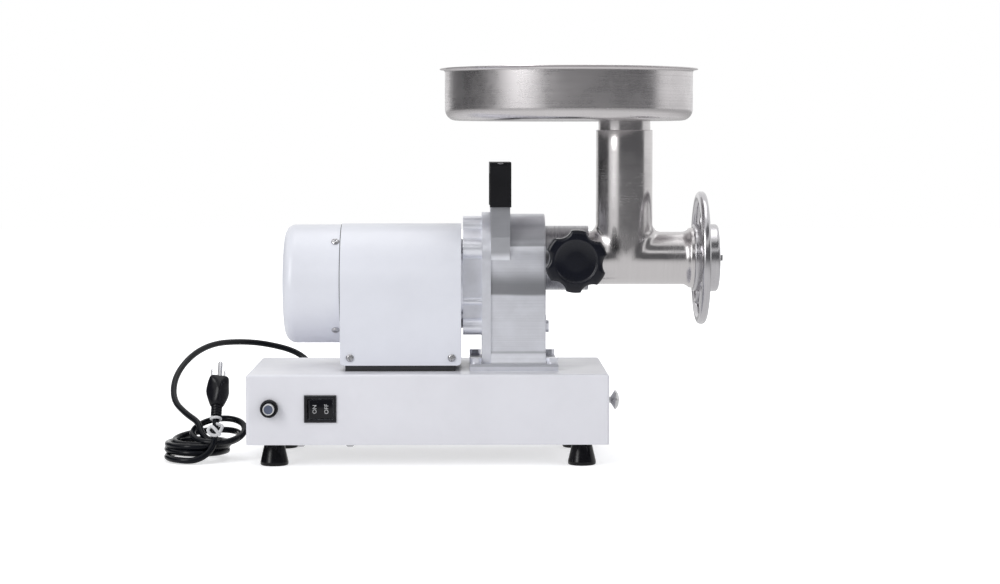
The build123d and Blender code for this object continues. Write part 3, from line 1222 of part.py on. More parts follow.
def auger():
    """Auger: square tail, shank, core with one helical flight, knife square and front stud."""
    left = REAR_WALL_X[1] + GAP
    margin = AUGER_FLIGHT_THICKNESS[0] / 2 + 0.4
    body = rod_x(AUGER_CORE_RADIUS, left, AUGER_RIGHT, *OUTPUT_CENTRE)
    body += auger_flight(left + margin, AUGER_RIGHT - margin)
    body += rod_x(AUGER_SHANK_RADIUS, SOCKET_RIGHT + GAP, left + 0.5, *OUTPUT_CENTRE)
    tail_left_x = SOCKET_RIGHT - SOCKET_DEPTH + 1.5
    body += block(
        tail_left_x, SOCKET_RIGHT + 1, -SOCKET_HALF, SOCKET_HALF,
        OUTPUT_AXIS_Z - SOCKET_HALF, OUTPUT_AXIS_Z + SOCKET_HALF,
    )
    knife_right = GRIND_PLATE_LEFT - GAP
    body += block(AUGER_RIGHT - 1, knife_right, -5, 5, OUTPUT_AXIS_Z - 5, OUTPUT_AXIS_Z + 5)
    body += rod_x(STUD_RADIUS, AUGER_RIGHT, GRIND_PLATE_LEFT + GRIND_PLATE_THICKNESS + 3, *OUTPUT_CENTRE)
    half = STUD_SQUARE / 2
    return body + block(AUGER_RIGHT, STUD_TIP, -half, half, OUTPUT_AXIS_Z - half, OUTPUT_AXIS_Z + half)


def cutting_knife():
    """Four-bladed knife on the auger's square, just behind the plate."""
    right = GRIND_PLATE_LEFT - GAP
    left = right - KNIFE_THICKNESS
    knife = rod_x(10.5, left, right, *OUTPUT_CENTRE)
    blade = make_face(Polyline((0, -3.5), (23, -2.2), (24.4, 0), (23, 4.0), (8, 5.5), (0, 3.5), close=True))
    for turn in range(4):
        knife += extrude(along_x(left, 0, OUTPUT_AXIS_Z) * Rot(0, 0, 90 * turn) * blade, right - left)
    half = 5 + FIT
    return knife - block(left - 1, right + 1, -half, half, OUTPUT_AXIS_Z - half, OUTPUT_AXIS_Z + half)


def nut_washer():
    """Loose ring between the plate and the nut's lip: it travels with the nut but doesn't turn."""
    ring = rod_x(MOUTH_RADIUS - 1.0, washer_left, washer_left + WASHER_THICKNESS, *OUTPUT_CENTRE)
    return ring - rod_x(NUT_OPENING + 0.2, washer_left - 1, washer_left + WASHER_THICKNESS + 1, *OUTPUT_CENTRE)


def nut_hub():
    """Threaded ring of the hand-wheel with the lip that holds the plate."""
    lip = washer_left + WASHER_THICKNESS
    hub = rod_x(NUT_RADIUS, NUT_LEFT, NUT_RIGHT, *OUTPUT_CENTRE)
    hub = chamfer(hub.edges().filter_by(GeomType.CIRCLE).sort_by(Axis.X)[-1], 1.2)
    hub -= rod_x(MOUTH_RADIUS + GAP, NUT_LEFT - 1, lip, *OUTPUT_CENTRE)
    return hub - rod_x(NUT_OPENING, lip - 1, NUT_RIGHT + 1, *OUTPUT_CENTRE)


def nut_wheel():
    """Rounded rim with spokes welded to the outside of the threaded ring."""
    radial, axial = WHEEL_RIM
    middle = WHEEL_RADIUS - radial / 2
    section = Plane.XZ * Pos(WHEEL_X, middle) * RectangleRounded(axial, radial, 0.46 * axial)
    rim = Pos(0, 0, OUTPUT_AXIS_Z) * revolve(section, Axis.X, 360)
    spoke = block(WHEEL_X - 2.6, WHEEL_X + 2.6, 0, WHEEL_RADIUS - radial / 2, -4.0, 4.0)
    spoke = fillet(spoke.edges().filter_by(Axis.Y), 2.2)
    spokes = Pos(0, 0, OUTPUT_AXIS_Z) * Rot(WHEEL_SPOKE_TURN, 0, 0) * spoke
    for turn in range(1, WHEEL_SPOKES):
        spokes += Pos(0, 0, OUTPUT_AXIS_Z) * Rot(WHEEL_SPOKE_TURN + turn * 360 / WHEEL_SPOKES, 0, 0) * spoke
    spokes -= rod_x(NUT_RADIUS + FIT / 2, WHEEL_X - 10, WHEEL_X + 10, *OUTPUT_CENTRE)
    return rim + spokes


# ---------------------------------------------------------------- tray
def tray_stem():
    """Tube that stands on the step in the neck and carries the tray."""
    stem = rod_z(STEM_RADIUS, NECK_X, 0, STEM_BOTTOM_Z, TRAY_BOTTOM_Z)
    return stem - rod_z(STEM_RADIUS - STEM_WALL, NECK_X, 0, STEM_BOTTOM_Z - 1, TRAY_BOTTOM_Z + 1)


def lip_outline():
    """Section of the flared lip, one sheet thick, as (radius, z) points."""
    under = [(0, 1.0), (0.08, 0.75), (0.26, 0.52), (0.54, 0.35), (1.0, 0.25)]
    over = [(1.0, 0), (0.46, 0.1), (0.12, 0.275), (-0.12, 0.575)]
    lip = [(TRAY_RADIUS + TRAY_LIP_REACH * out, tray_top - TRAY_LIP_HEIGHT * down) for out, down in under + over]
    return lip + [(TRAY_RADIUS - TRAY_WALL, tray_top - TRAY_LIP_HEIGHT)]


def tray_pan():
    """Round pan with a rounded bottom corner, a flared lip and a hole over the stem."""
    wall_top = tray_top - TRAY_LIP_HEIGHT
    pan = rod_z(TRAY_RADIUS, TRAY_X, 0, TRAY_BOTTOM_Z, wall_top)
    pan = fillet(pan.edges().filter_by(GeomType.CIRCLE).sort_by(Axis.Z)[0], TRAY_CORNER)
    inside = rod_z(TRAY_RADIUS - TRAY_WALL, TRAY_X, 0, TRAY_BOTTOM_Z + TRAY_WALL, wall_top)
    inside = fillet(inside.edges().filter_by(GeomType.CIRCLE).sort_by(Axis.Z)[0], TRAY_CORNER - TRAY_WALL)
    pan = pan - inside + turned_z(lip_outline(), TRAY_X)
    return pan - rod_z(STEM_RADIUS - STEM_WALL, NECK_X, 0, TRAY_BOTTOM_Z - 1, TRAY_BOTTOM_Z + 3)


# ---------------------------------------------------------------- cord
def cord_gland():
    """Strain relief in the back panel."""
    y = base_back
    gland = rod_y(8, GLAND_X, GLAND_Z, y + 3, y)
    gland += rod_y(5.2, GLAND_X, GLAND_Z, y, y - 7)
    points = [(y + 3, 5.6), (y + GLAND_REACH, 4.0), (y + GLAND_REACH, 0), (y + 3, 0)]
    face = make_face(Polyline(*[(radius, along) for along, radius in points], close=True))
    boot = Pos(GLAND_X, 0, GLAND_Z) * Rot(-90, 0, 0) * revolve(Plane.XZ * face, Axis.Z, 360)
    return gland + boot


def power_cord():
    """Free run of the cord from the gland to the hank."""
    points = [Vector(*point) for point in CORD_ROUTE]
    radii = []
    for before, at, after in zip(points, points[1:], points[2:]):
        turn = (at - before).get_angle(after - at)
        shorter = min((at - before).length, (after - at).length)
        radii.append(0.45 * shorter / tan(radians(turn) / 2))
    path = FilletPolyline(*points, radius=radii)
    print("cord radii", [round(radius, 1) for radius in radii])
    start = Plane(origin=points[0], z_dir=points[1] - points[0])
    tube = sweep(start * Circle(CORD_RADIUS), path=path)
    print("cord length", round(path.length, 1), "volume ratio", tube.volume / (pi * CORD_RADIUS**2 * path.length))
    return tube


def cord_hank():
    """Outer shape of the tied hank: flat loops with upright loops over their middle."""
    x, y = HANK_CENTRE
    size_x, size_y, height = HANK_SIZE
    loops = extrude(Plane.XY.offset(0.3) * Pos(x, y) * RectangleRounded(size_x, size_y, 30), height)
    loops = fillet(loops.faces().sort_by(Axis.Z)[-1].edges(), 6)
    crown_x, crown_y, crown_top = HANK_CROWN
    crown = RectangleRounded(crown_x, crown_y, 6)
    crown_plane = Plane.XY.offset(height / 2) * Pos(crown_left + crown_x / 2, PLUG_Y)
    return loops + extrude(crown_plane * crown, crown_top - height / 2)


def plug_place():
    """Place of the plug: its own Z runs from the cord to the contacts."""
    return Pos(PLUG_X, PLUG_Y, PLUG_BOTTOM_Z) * Rot(-PLUG_LEAN, 0, 0) * Rot(0, 0, PLUG_TURN)


def plug_lead():
    """Short end of the cord between the hank and the plug, sunk in the hank's loops."""
    reach = (PLUG_BOTTOM_Z - HANK_CROWN[2]) / cos(radians(PLUG_LEAN)) + CORD_RADIUS
    return plug_place() * extrude(Circle(CORD_RADIUS), -reach)


def cord_tie():
    """Plastic-covered wire around the cord, with its twisted ends in front of the loops."""
    band = Pos(0, 0, -5.0) * (extrude(Circle(CORD_RADIUS + 1.6) - Circle(CORD_RADIUS + GAP), 4.0))
    low = HANK_CROWN[2] + 4.0
    front = PLUG_Y - HANK_CROWN[1] / 2
    bridge = block(PLUG_X - 3, PLUG_X + 3, front - 3.2, front + 5.9, low, low + 2.6)
    ends = block(PLUG_X - 7, PLUG_X + 7, front - 3.2, front - GAP, HANK_SIZE[2] + 2, low + 2.6)
    return plug_place() * band + bridge + fillet(ends.edges().filter_by(Axis.Y), 3)


def plug_body():
    """Moulded plug."""
    relief = rod_z(5.0, 0, 0, 0, PLUG_RELIEF_LENGTH)
    low = Plane.XY.offset(PLUG_RELIEF_LENGTH) * RectangleRounded(13, 14, 3)
    middle = Plane.XY.offset(0.66 * PLUG_LENGTH) * RectangleRounded(PLUG_WIDTH, PLUG_DEPTH, 5)
    top = Plane.XY.offset(PLUG_LENGTH) * RectangleRounded(PLUG_WIDTH - 3, PLUG_DEPTH - 3, 5)
    return plug_place() * (relief + loft([low, middle]) + loft([middle, top]))


def plug_contacts():
    """Two flat blades and one round earth pin."""
    back = -0.3 * EARTH_OFFSET
    blade = Box(1.5, 6.3, 13, align=(Align.CENTER, Align.CENTER, Align.MIN))
    pieces = [Pos(side * CONTACT_PITCH / 2, back, PLUG_LENGTH) * blade for side in (-1, 1)]
    pieces.append(Pos(0, back + EARTH_OFFSET, PLUG_LENGTH) * extrude(Circle(2.2), 16))
    return joined([plug_place() * piece for piece in pieces])


# ---------------------------------------------------------------- writing
NODES = {
    "base_housing": base_housing,
    "base_bottom_plate": base_bottom_plate,
    "rubber_feet": rubber_feet,
    "base_screws": base_screws,
    "drawer_rails": drawer_rails,
    "drawer_pan": drawer_pan,
    "drawer_knob": drawer_knob,
    "switch_housing": switch_housing,
    "switch_rocker": switch_rocker,
    "circuit_breaker": circuit_breaker,
    "reset_button": reset_button,
    "fan_cap": fan_cap,
    "housing_screws": housing_screws,
    "motor_cover": motor_cover,
    "motor_saddle": motor_saddle,
    "rear_bracket": rear_bracket,
    "brush_holders": brush_holders,
    "carbon_brushes": carbon_brushes,
    "stator_core": stator_core,
    "field_coils": field_coils,
    "ball_bearings": ball_bearings,
    "end_bell": end_bell,
    "motor_shaft": motor_shaft,
    "armature": armature,
    "armature_windings": armature_windings,
    "commutator": commutator,
    "cooling_fan": cooling_fan,
    "case_back_plate": case_back_plate,
    "gear_case": gear_case,
    "bearing_carrier": bearing_carrier,
    "gearbox_bushes": gearbox_bushes,
    "motor_pinion": motor_pinion,
    "first_gear": first_gear,
    "first_countershaft": first_countershaft,
    "second_gear": second_gear,
    "second_countershaft": second_countershaft,
    "output_gear": output_gear,
    "output_shaft": output_shaft,
    "hub_sleeve": hub_sleeve,
    "drive_bolts": drive_bolts,
    "handle_grip": handle_grip,
    "lock_pad": lock_pad,
    "lock_stud": lock_stud,
    "lock_knob": lock_knob,
    "grinder_head": grinder_head,
    "grinding_plate": grinding_plate,
    "auger": auger,
    "cutting_knife": cutting_knife,
    "nut_washer": nut_washer,
    "nut_hub": nut_hub,
    "nut_wheel": nut_wheel,
    "tray_stem": tray_stem,
    "tray_pan": tray_pan,
    "cord_gland": cord_gland,
    "power_cord": power_cord,
    "cord_hank": cord_hank,
    "plug_lead": plug_lead,
    "cord_tie": cord_tie,
    "plug_body": plug_body,
    "plug_contacts": plug_contacts,
}


def save(name, shape):
    """Write one sub-part with the finished part's origin."""
    export_step(Pos(SHIFT_X, 0, 0) * shape, f"parts/{name}.step")


os.makedirs("parts", exist_ok=True)
for name, make in NODES.items():
    save(name, make())
print("shift of X", SHIFT_X, "nodes", len(NODES))
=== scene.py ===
"""Electric meat grinder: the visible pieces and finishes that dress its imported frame."""

import json
import logging
from collections.abc import Sequence
from dataclasses import dataclass
from enum import Enum
from functools import cache
from math import asin, atan2, ceil, cos, pi, radians, sin, sqrt, tan

import bmesh
import bpy
from mathutils import Matrix, Quaternion, Vector

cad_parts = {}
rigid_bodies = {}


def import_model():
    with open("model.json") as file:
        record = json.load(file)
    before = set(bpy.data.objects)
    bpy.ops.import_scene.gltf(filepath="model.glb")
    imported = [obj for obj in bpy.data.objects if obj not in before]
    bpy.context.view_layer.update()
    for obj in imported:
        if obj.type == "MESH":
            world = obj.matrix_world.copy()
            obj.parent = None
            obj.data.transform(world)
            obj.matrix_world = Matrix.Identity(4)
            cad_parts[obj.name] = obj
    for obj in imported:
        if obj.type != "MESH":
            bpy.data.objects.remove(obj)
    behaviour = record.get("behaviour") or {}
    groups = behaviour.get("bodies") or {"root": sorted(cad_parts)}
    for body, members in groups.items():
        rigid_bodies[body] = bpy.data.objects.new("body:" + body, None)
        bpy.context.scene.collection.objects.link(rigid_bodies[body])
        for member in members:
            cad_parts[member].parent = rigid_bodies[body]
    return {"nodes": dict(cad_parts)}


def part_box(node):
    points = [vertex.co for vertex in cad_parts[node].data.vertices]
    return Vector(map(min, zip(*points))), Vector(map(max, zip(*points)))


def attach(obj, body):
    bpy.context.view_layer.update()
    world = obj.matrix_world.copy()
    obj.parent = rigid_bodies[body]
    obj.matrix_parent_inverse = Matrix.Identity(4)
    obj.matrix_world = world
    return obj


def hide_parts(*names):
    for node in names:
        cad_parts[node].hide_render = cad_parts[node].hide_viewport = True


STRAY = [thing.name for thing in bpy.data.objects]
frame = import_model()
for stray in STRAY:
    bpy.data.objects.remove(bpy.data.objects[stray])
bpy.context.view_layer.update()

LOG = logging.getLogger("meat_grinder")
MM = 0.001
# Sizes are in millimetres from the joint between motor and gearbox, which stands off the origin.
JOINT_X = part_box("end_bell")[1][0]
OUTPUT_Z = 195.0
MOTOR_Z = 170.0
SQUARE = ((-1, -1), (1, -1), (1, 1), (-1, 1))
UP = Vector((0.0, 0.0, 1.0))

Obj = bpy.types.Object
Socket = bpy.types.NodeSocket
Tree = bpy.types.NodeTree
Pair = tuple[float, float]
Point = tuple[float, float, float]
Row = list[Vector]
Shell = tuple[Row, list]
Outline = list[Pair]


def at(x: float, y: float, z: float) -> Vector:
    """Returns a point of the drawing, in millimetres, as a point of the frame in metres."""
    return Vector((JOINT_X + x * MM, y * MM, z * MM))


# ---- mesh makers
class Axis(Enum):
    """Axis that a turned piece stands on: its own place among x, y and z, then those across it."""

    X = (0, 1, 2)
    Y = (1, 0, 2)
    Z = (2, 0, 1)


def round_angles(steps: int) -> list[float]:
    """Returns equal steps of a full turn in radians."""
    return [2 * pi * step / steps for step in range(steps)]


def rounded(corners: Sequence[Point], steps: int = 5) -> Outline:
    """Rounds the corners of a closed outline.

    Args:
        corners: The outline's corners as (a, b, radius of the corner).
        steps: Number of straight pieces in each rounding.

    Returns:
        The outline's points in the same order.
    """
    points: Outline = []
    for index, (a, b, radius) in enumerate(corners):
        if radius <= 0:
            points.append((a, b))
            continue
        here = Vector((a, b))
        before = Vector(corners[index - 1][:2]) - here
        after = Vector(corners[(index + 1) % len(corners)][:2]) - here
        half = before.angle(after) / 2
        reach = min(radius / tan(half), 0.49 * before.length, 0.49 * after.length)
        bend = reach * tan(half)
        centre = here + (before.normalized() + after.normalized()).normalized() * bend / sin(half)
        first = here + before.normalized() * reach - centre
        sweep = first.angle_signed(here + after.normalized() * reach - centre)
        points += [tuple(centre + Matrix.Rotation(-sweep * k / steps, 2) @ first) for k in range(steps + 1)]
    return points


def spread(rows: Sequence[Row], ring: bool = False, caps: tuple[bool, bool] = (False, False)) -> Shell:
    """Joins rows of equally many points, each row closed on itself.

    Args:
        rows: The rows, one after another.
        ring: Whether the last row joins the first.
        caps: Whether the first and the last row are closed by a face.

    Returns:
        Points and faces.
    """
    width = len(rows[0])
    points = [point for row in rows for point in row]
    faces: list = []
    for index in range(len(rows) if ring else len(rows) - 1):
        low, high = index * width, (index + 1) % len(rows) * width
        for step in range(width):
            following = (step + 1) % width
            faces.append((low + step, low + following, high + following, high + step))
    faces += [tuple(range(width))] * caps[0]
    faces += [tuple(range(len(points) - width, len(points)))] * caps[1]
    return points, faces


def closed(rows: Sequence[Row]) -> Shell:
    """Joins rows and closes both ends."""
    return spread(rows, caps=(True, True))


def put(name: str, data: bpy.types.ID) -> Obj:
    """Makes an object of some data and links it to the scene."""
    made = bpy.data.objects.new(name, data)
    bpy.context.scene.collection.objects.link(made)
    return made


def shade(mesh: bpy.types.Mesh, sharp: float) -> None:
    """Shades a mesh smooth between edges sharper than an angle in degrees."""
    mesh.shade_smooth()
    mesh.set_sharp_from_angle(angle=radians(sharp))


def piece(name: str, parts: Sequence[Shell], sharp: float = 35.0) -> Obj:
    """Makes one object from point and face lists.

    Args:
        name: Name of the object.
        parts: (points, faces) of each shell, in metres.
        sharp: Angle in degrees from which an edge is drawn sharp.

    Returns:
        The object, with outward normals and smooth shading between sharp edges.
    """
    points: Row = []
    faces: list = []
    for some_points, some_faces in parts:
        faces += [tuple(corner + len(points) for corner in face) for face in some_faces]
        points += some_points
    mesh = bpy.data.meshes.new(name)
    mesh.from_pydata([tuple(point) for point in points], [], faces)
    work = bmesh.new()
    work.from_mesh(mesh)
    bmesh.ops.remove_doubles(work, verts=work.verts, dist=2e-6)
    bmesh.ops.dissolve_degenerate(work, edges=work.edges, dist=1e-7)
    bmesh.ops.recalc_face_normals(work, faces=work.faces)
    work.to_mesh(mesh)
    work.free()
    shade(mesh, sharp)
    return put(name, mesh)


def circle(axis: Axis, along: float, radius: float, centre: Point, steps: int) -> Row:
    """Returns one ring of points about an axis through centre, in metres."""
    ring: Row = []
    own, first, second = axis.value
    for angle in round_angles(steps):
        point = list(centre)
        point[own] = along
        point[first] += radius * cos(angle)
        point[second] += radius * sin(angle)
        ring.append(at(*point))
    return ring


def turned(axis: Axis, outline: Outline, centre: Point = (0, 0, 0), steps: int = 96) -> Shell:
    """Turns a closed outline of (place along the axis, radius) about an axis through centre."""
    return spread([circle(axis, along, max(radius, 0.0), centre, steps) for along, radius in outline], ring=True)


def evaluated(made: Obj) -> bpy.types.Mesh:
    """Returns the plain mesh that an object's modifiers or text give."""
    bpy.context.view_layer.update()
    graph = bpy.context.evaluated_depsgraph_get()
    return bpy.data.meshes.new_from_object(made.evaluated_get(graph), depsgraph=graph)


def settle(made: Obj, sharp: float = 35.0) -> Obj:
    """Turns an object's modifiers into plain mesh and shades it again."""
    mesh = evaluated(made)
    made.modifiers.clear()
    made.data = mesh
    shade(mesh, sharp)
    return made


def cut(made: Obj, tools: Sequence[Obj]) -> Obj:
    """Takes closed tools out of an object and removes them."""
    for tool in tools:
        step = made.modifiers.new("cut", "BOOLEAN")
        step.operation = "DIFFERENCE"
        step.solver = "EXACT"
        step.object = tool
    settle(made, 40)
    for tool in tools:
        bpy.data.objects.remove(tool)
    return made


def tube(path: Sequence[Vector], radius: float, steps: int) -> Shell:
    """Sweeps a circle along points without twisting it, all in metres."""
    rows: list[Row] = []
    along = (path[1] - path[0]).normalized()
    side = along.orthogonal().normalized()
    for index, point in enumerate(path):
        ahead = (path[min(index + 1, len(path) - 1)] - path[max(index - 1, 0)]).normalized()
        side = along.rotation_difference(ahead) @ side
        along = ahead
        up = along.cross(side)
        rows.append([point + radius * (cos(angle) * side + sin(angle) * up) for angle in round_angles(steps)])
    return closed(rows)


def superellipse(half_a: float, half_b: float, power: float, steps: int) -> Outline:
    """Returns points of a rounded rectangle: power 2 is an ellipse, larger is squarer."""

    def pulled(value: float) -> float:
        return abs(value) ** (2 / power) * (1 if value >= 0 else -1)

    return [(half_a * pulled(cos(angle)), half_b * pulled(sin(angle))) for angle in round_angles(steps)]


# ---- node trees
class Graph:
    """Adds nodes to one tree and joins them."""

    def __init__(self, tree: Tree) -> None:
        """Keeps the tree."""
        self.tree = tree

    def node(self, kind: str, inputs: dict | None = None, **settings: object) -> bpy.types.Node:
        """Adds one node.

        Args:
            kind: Type name of the node.
            inputs: Values or output sockets by socket name or number.
            **settings: Properties of the node.

        Returns:
            The node.
        """
        made = self.tree.nodes.new(kind)
        for key, value in settings.items():
            setattr(made, key, value)
        for key, value in (inputs or {}).items():
            if isinstance(value, Socket):
                self.tree.links.new(value, made.inputs[key])
            else:
                made.inputs[key].default_value = value
        return made

    def math(self, operation: str, *values: object, **settings: object) -> Socket:
        """Returns the result of one Math node."""
        return self.node("ShaderNodeMath", dict(enumerate(values)), operation=operation, **settings).outputs[0]

    def times(self, first: object, second: object, **settings: object) -> Socket:
        """Returns the product of two values."""
        return self.math("MULTIPLY", first, second, **settings)

    def noise(self, vector: object, scale: float, detail: float = 3.0, rough: float = 0.55) -> Socket:
        """Returns the value of a noise texture."""
        inputs = {"Vector": vector, "Scale": scale, "Detail": detail, "Roughness": rough}
        return self.node("ShaderNodeTexNoise", inputs).outputs[0]

    def ramp(self, value: object, low: float, high: float, to_low: object, to_high: object) -> Socket:
        """Returns a value mapped from one range to another, smoothly and clamped."""
        inputs = {"Value": value, "From Min": low, "From Max": high, "To Min": to_low, "To Max": to_high}
        return self.node("ShaderNodeMapRange", inputs, interpolation_type="SMOOTHSTEP").outputs[0]

    def step(self, value: object, place: float, soft: float, before: float, after: float) -> Socket:
        """Returns before under a place and after over it, with a soft change at it."""
        return self.ramp(value, place - soft, place + soft, before, after)

    def mix(self, factor: object, first: object, second: object, blend: str = "MIX") -> Socket:
        """Returns the mix of two colours."""
        inputs = {0: factor, 6: first, 7: second}
        return self.node("ShaderNodeMix", inputs, data_type="RGBA", blend_type=blend).outputs[2]

    def effect(self, tree: Tree, where: Socket, **inputs: object) -> bpy.types.Node:
        """Adds a shared effect at a place on the surface."""
        return self.node("ShaderNodeGroup", {"Vector": where, **inputs}, node_tree=tree)

    def cloud(self, where: Socket, scale: float, low: float, high: float) -> Socket:
        """Returns a value that varies slowly over the surface between low and high."""
        return self.effect(clouding(), where, Scale=scale, Low=low, High=high).outputs[0]


FLOAT, VECTOR = "NodeSocketFloat", "NodeSocketVector"
GEOMETRY = "NodeSocketGeometry"


def group(
    name: str, inputs: dict[str, str], outputs: Sequence[str], kind: str = "Shader"
) -> tuple[Graph, list[Socket]]:
    """Starts a node group.

    Args:
        name: Name of the group.
        inputs: Type of each input by its name.
        outputs: Names of the outputs, which are numbers in a shader group.
        kind: Shader or Geometry.

    Returns:
        The group's graph, and its input sockets in order.
    """
    tree = bpy.data.node_groups.new(name, kind + "NodeTree")
    for key, socket_type in inputs.items():
        tree.interface.new_socket(name=key, in_out="INPUT", socket_type=socket_type)
    for key in outputs:
        tree.interface.new_socket(name=key, in_out="OUTPUT", socket_type=FLOAT if kind == "Shader" else GEOMETRY)
    graph = Graph(tree)
    entry = graph.node("NodeGroupInput")
    return graph, [entry.outputs[key] for key in inputs]


@cache
def brushing() -> Tree:
    """Fine parallel lines: the vector is stretched by Lines, most across the lines."""
    graph, (where, lines) = group("brushing", {"Vector": VECTOR, "Lines": VECTOR}, ("Mask", "Height"))
    stretched = graph.node("ShaderNodeVectorMath", {0: where, 1: lines}, operation="MULTIPLY")
    coarse = graph.noise(stretched.outputs[0], 0.35, 2.0, 0.6)
    fine = graph.noise(stretched.outputs[0], 1.6, 2.0, 0.7)
    both = graph.math("ADD", graph.times(coarse, 0.45), graph.times(fine, 0.55))
    graph.node("NodeGroupOutput", {"Mask": graph.ramp(both, 0.3, 0.7, 0.0, 1.0), "Height": both})
    return graph.tree


@cache
def clouding() -> Tree:
    """Slow variation of a value over the surface, as from handling and wiping."""
    kinds = {"Vector": VECTOR, "Scale": FLOAT, "Low": FLOAT, "High": FLOAT}
    graph, (where, scale, low, high) = group("clouding", kinds, ("Value",))
    noise = graph.noise(where, scale, 4.0, 0.6)
    graph.node("NodeGroupOutput", {"Value": graph.ramp(noise, 0.32, 0.68, low, high)})
    return graph.tree


@cache
def edge_mask() -> Tree:
    """White along edges, broken up by noise, from the difference between the true and the rounded normal."""
    graph, (where, radius, gain) = group("edge_mask", {"Vector": VECTOR, "Radius": FLOAT, "Gain": FLOAT}, ("Mask",))
    bevel = graph.node("ShaderNodeBevel", {"Radius": radius}, samples=4)
    true_normal = graph.node("ShaderNodeNewGeometry").outputs["Normal"]
    along = graph.node("ShaderNodeVectorMath", {0: bevel.outputs[0], 1: true_normal}, operation="DOT_PRODUCT")
    bend = graph.math("SUBTRACT", 1.0, along.outputs["Value"])
    edge_wear_and_glint = graph.ramp(graph.noise(where, 260.0, 3.0), 0.35, 0.65, 0.35, 1.0)
    mask = graph.times(graph.times(bend, gain), edge_wear_and_glint, use_clamp=True)
    graph.node("NodeGroupOutput", {"Mask": mask})
    return graph.tree


@cache
def skin_grain() -> Tree:
    """Height of a slightly uneven skin: orange peel, moulded grain or cast skin by its scales."""
    kinds = {"Vector": VECTOR, "Peel": FLOAT, "Grain": FLOAT, "Share": FLOAT}
    graph, (where, peel, grain, share) = group("skin_grain", kinds, ("Height",))
    coarse = graph.times(graph.noise(where, peel, 1.0, 0.4), graph.math("SUBTRACT", 1.0, share))
    fine = graph.times(graph.noise(where, grain, 2.0, 0.6), share)
    graph.node("NodeGroupOutput", {"Height": graph.math("ADD", coarse, fine)})
    return graph.tree


# ---- finishes
Colour = Point


def rgba(colour: Colour, share: float = 1.0) -> tuple[float, float, float, float]:
    """Returns a share of a colour with full alpha."""
    return (*(share * part for part in colour), 1.0)


def blank(owner: bpy.types.Material | bpy.types.World) -> Graph:
    """Empties the node tree of a material or world and returns its graph."""
    owner.use_nodes = True
    owner.node_tree.nodes.clear()
    return Graph(owner.node_tree)


class Lay(Enum):
    """Direction that fine working lines run in; the numbers stretch the pattern across them."""

    AROUND_X = (2600.0, 9.0, 9.0)
    AROUND_Z = (9.0, 9.0, 2600.0)
    ALONG_X = (10.0, 2200.0, 2200.0)


@dataclass(frozen=True)
class Finish:
    """What every finish shares: colour, grain, rounded edges, paler edges that are rubbed wear and on the glossy blacks
    painted edge highlights, and how they make a material.

    Colour and roughness drift slowly, and the skin is a coarse peel under a fine grain. The drift is (scale, lowest
    share of the colour) and the grain (scale, share of the skin).
    """

    name: str
    colour: Colour
    rough: Pair = (0.3, 0.42)
    peel: float = 420.0
    depth: float = 0.00006
    soften: float = 0.0006
    # Colour of the paler edges: rubbed wear, and on the glossy black plastics a painted edge highlight.
    edge_wear_and_glint: Colour = (0.62, 0.62, 0.62)
    wear: float = 0.5
    edge_gain: float = 4.0
    drift: Pair = (14.0, 0.955)
    rough_scale: float = 32.0
    grain: Pair = (2600.0, 0.2)

    def material(self) -> bpy.types.Material:
        """Returns the finish's material, built at the first call."""
        name = "finish_" + self.name
        if name in bpy.data.materials:
            return bpy.data.materials[name]
        made = bpy.data.materials.new(name)
        graph = blank(made)
        where = graph.node("ShaderNodeTexCoord").outputs["Object"]
        colour, rough, height = self.look(graph, where)
        normal = graph.node("ShaderNodeBevel", {"Radius": self.soften}, samples=4).outputs[0]
        normal = graph.node(
            "ShaderNodeBump", {"Height": height, "Distance": self.depth, "Strength": 1.0, "Normal": normal}
        ).outputs[0]
        inputs = {"Base Color": colour, "Roughness": rough, "Normal": normal, **self.shading()}
        shader = graph.node("ShaderNodeBsdfPrincipled", inputs)
        graph.node("ShaderNodeOutputMaterial", {"Surface": shader.outputs[0]})
        return made

    def shading(self) -> dict[str, float]:
        """Returns the shader's fixed values."""
        raise NotImplementedError

    def tone(self, graph: Graph, where: Socket) -> Socket:
        """Returns the colour, drifting slowly."""
        scale, low = self.drift
        drift = graph.cloud(where, scale, low, 1.0)
        tone = graph.node("ShaderNodeCombineColor", {0: drift, 1: drift, 2: drift})
        return graph.mix(1.0, rgba(self.colour), tone.outputs[0], "MULTIPLY")

    def look(self, graph: Graph, where: Socket) -> tuple[Socket, Socket, Socket]:
        """Returns the colour with its paler edges (rubbed wear, and on the glossy blacks painted edge highlights), the
        roughness and the height of the skin.
        """
        edge = graph.effect(edge_mask(), where, Radius=self.soften, Gain=self.edge_gain)
        share = graph.times(edge.outputs[0], self.wear)
        colour = graph.mix(share, self.tone(graph, where), rgba(self.edge_wear_and_glint))
        rough = graph.cloud(where, self.rough_scale, *self.rough)
        grain, grain_share = self.grain
        skin = graph.effect(skin_grain(), where, Peel=self.peel, Grain=grain, Share=grain_share)
        return colour, rough, skin.outputs[0]


@dataclass(frozen=True)
class Painted(Finish):
    """Sprayed and baked paint with a faint orange peel and rubbed edges."""

    edge_gain: float = 3.0

    def shading(self) -> dict[str, float]:
        """Returns a thin clear coat."""
        return {"Coat Weight": 0.25, "Coat Roughness": 0.22}


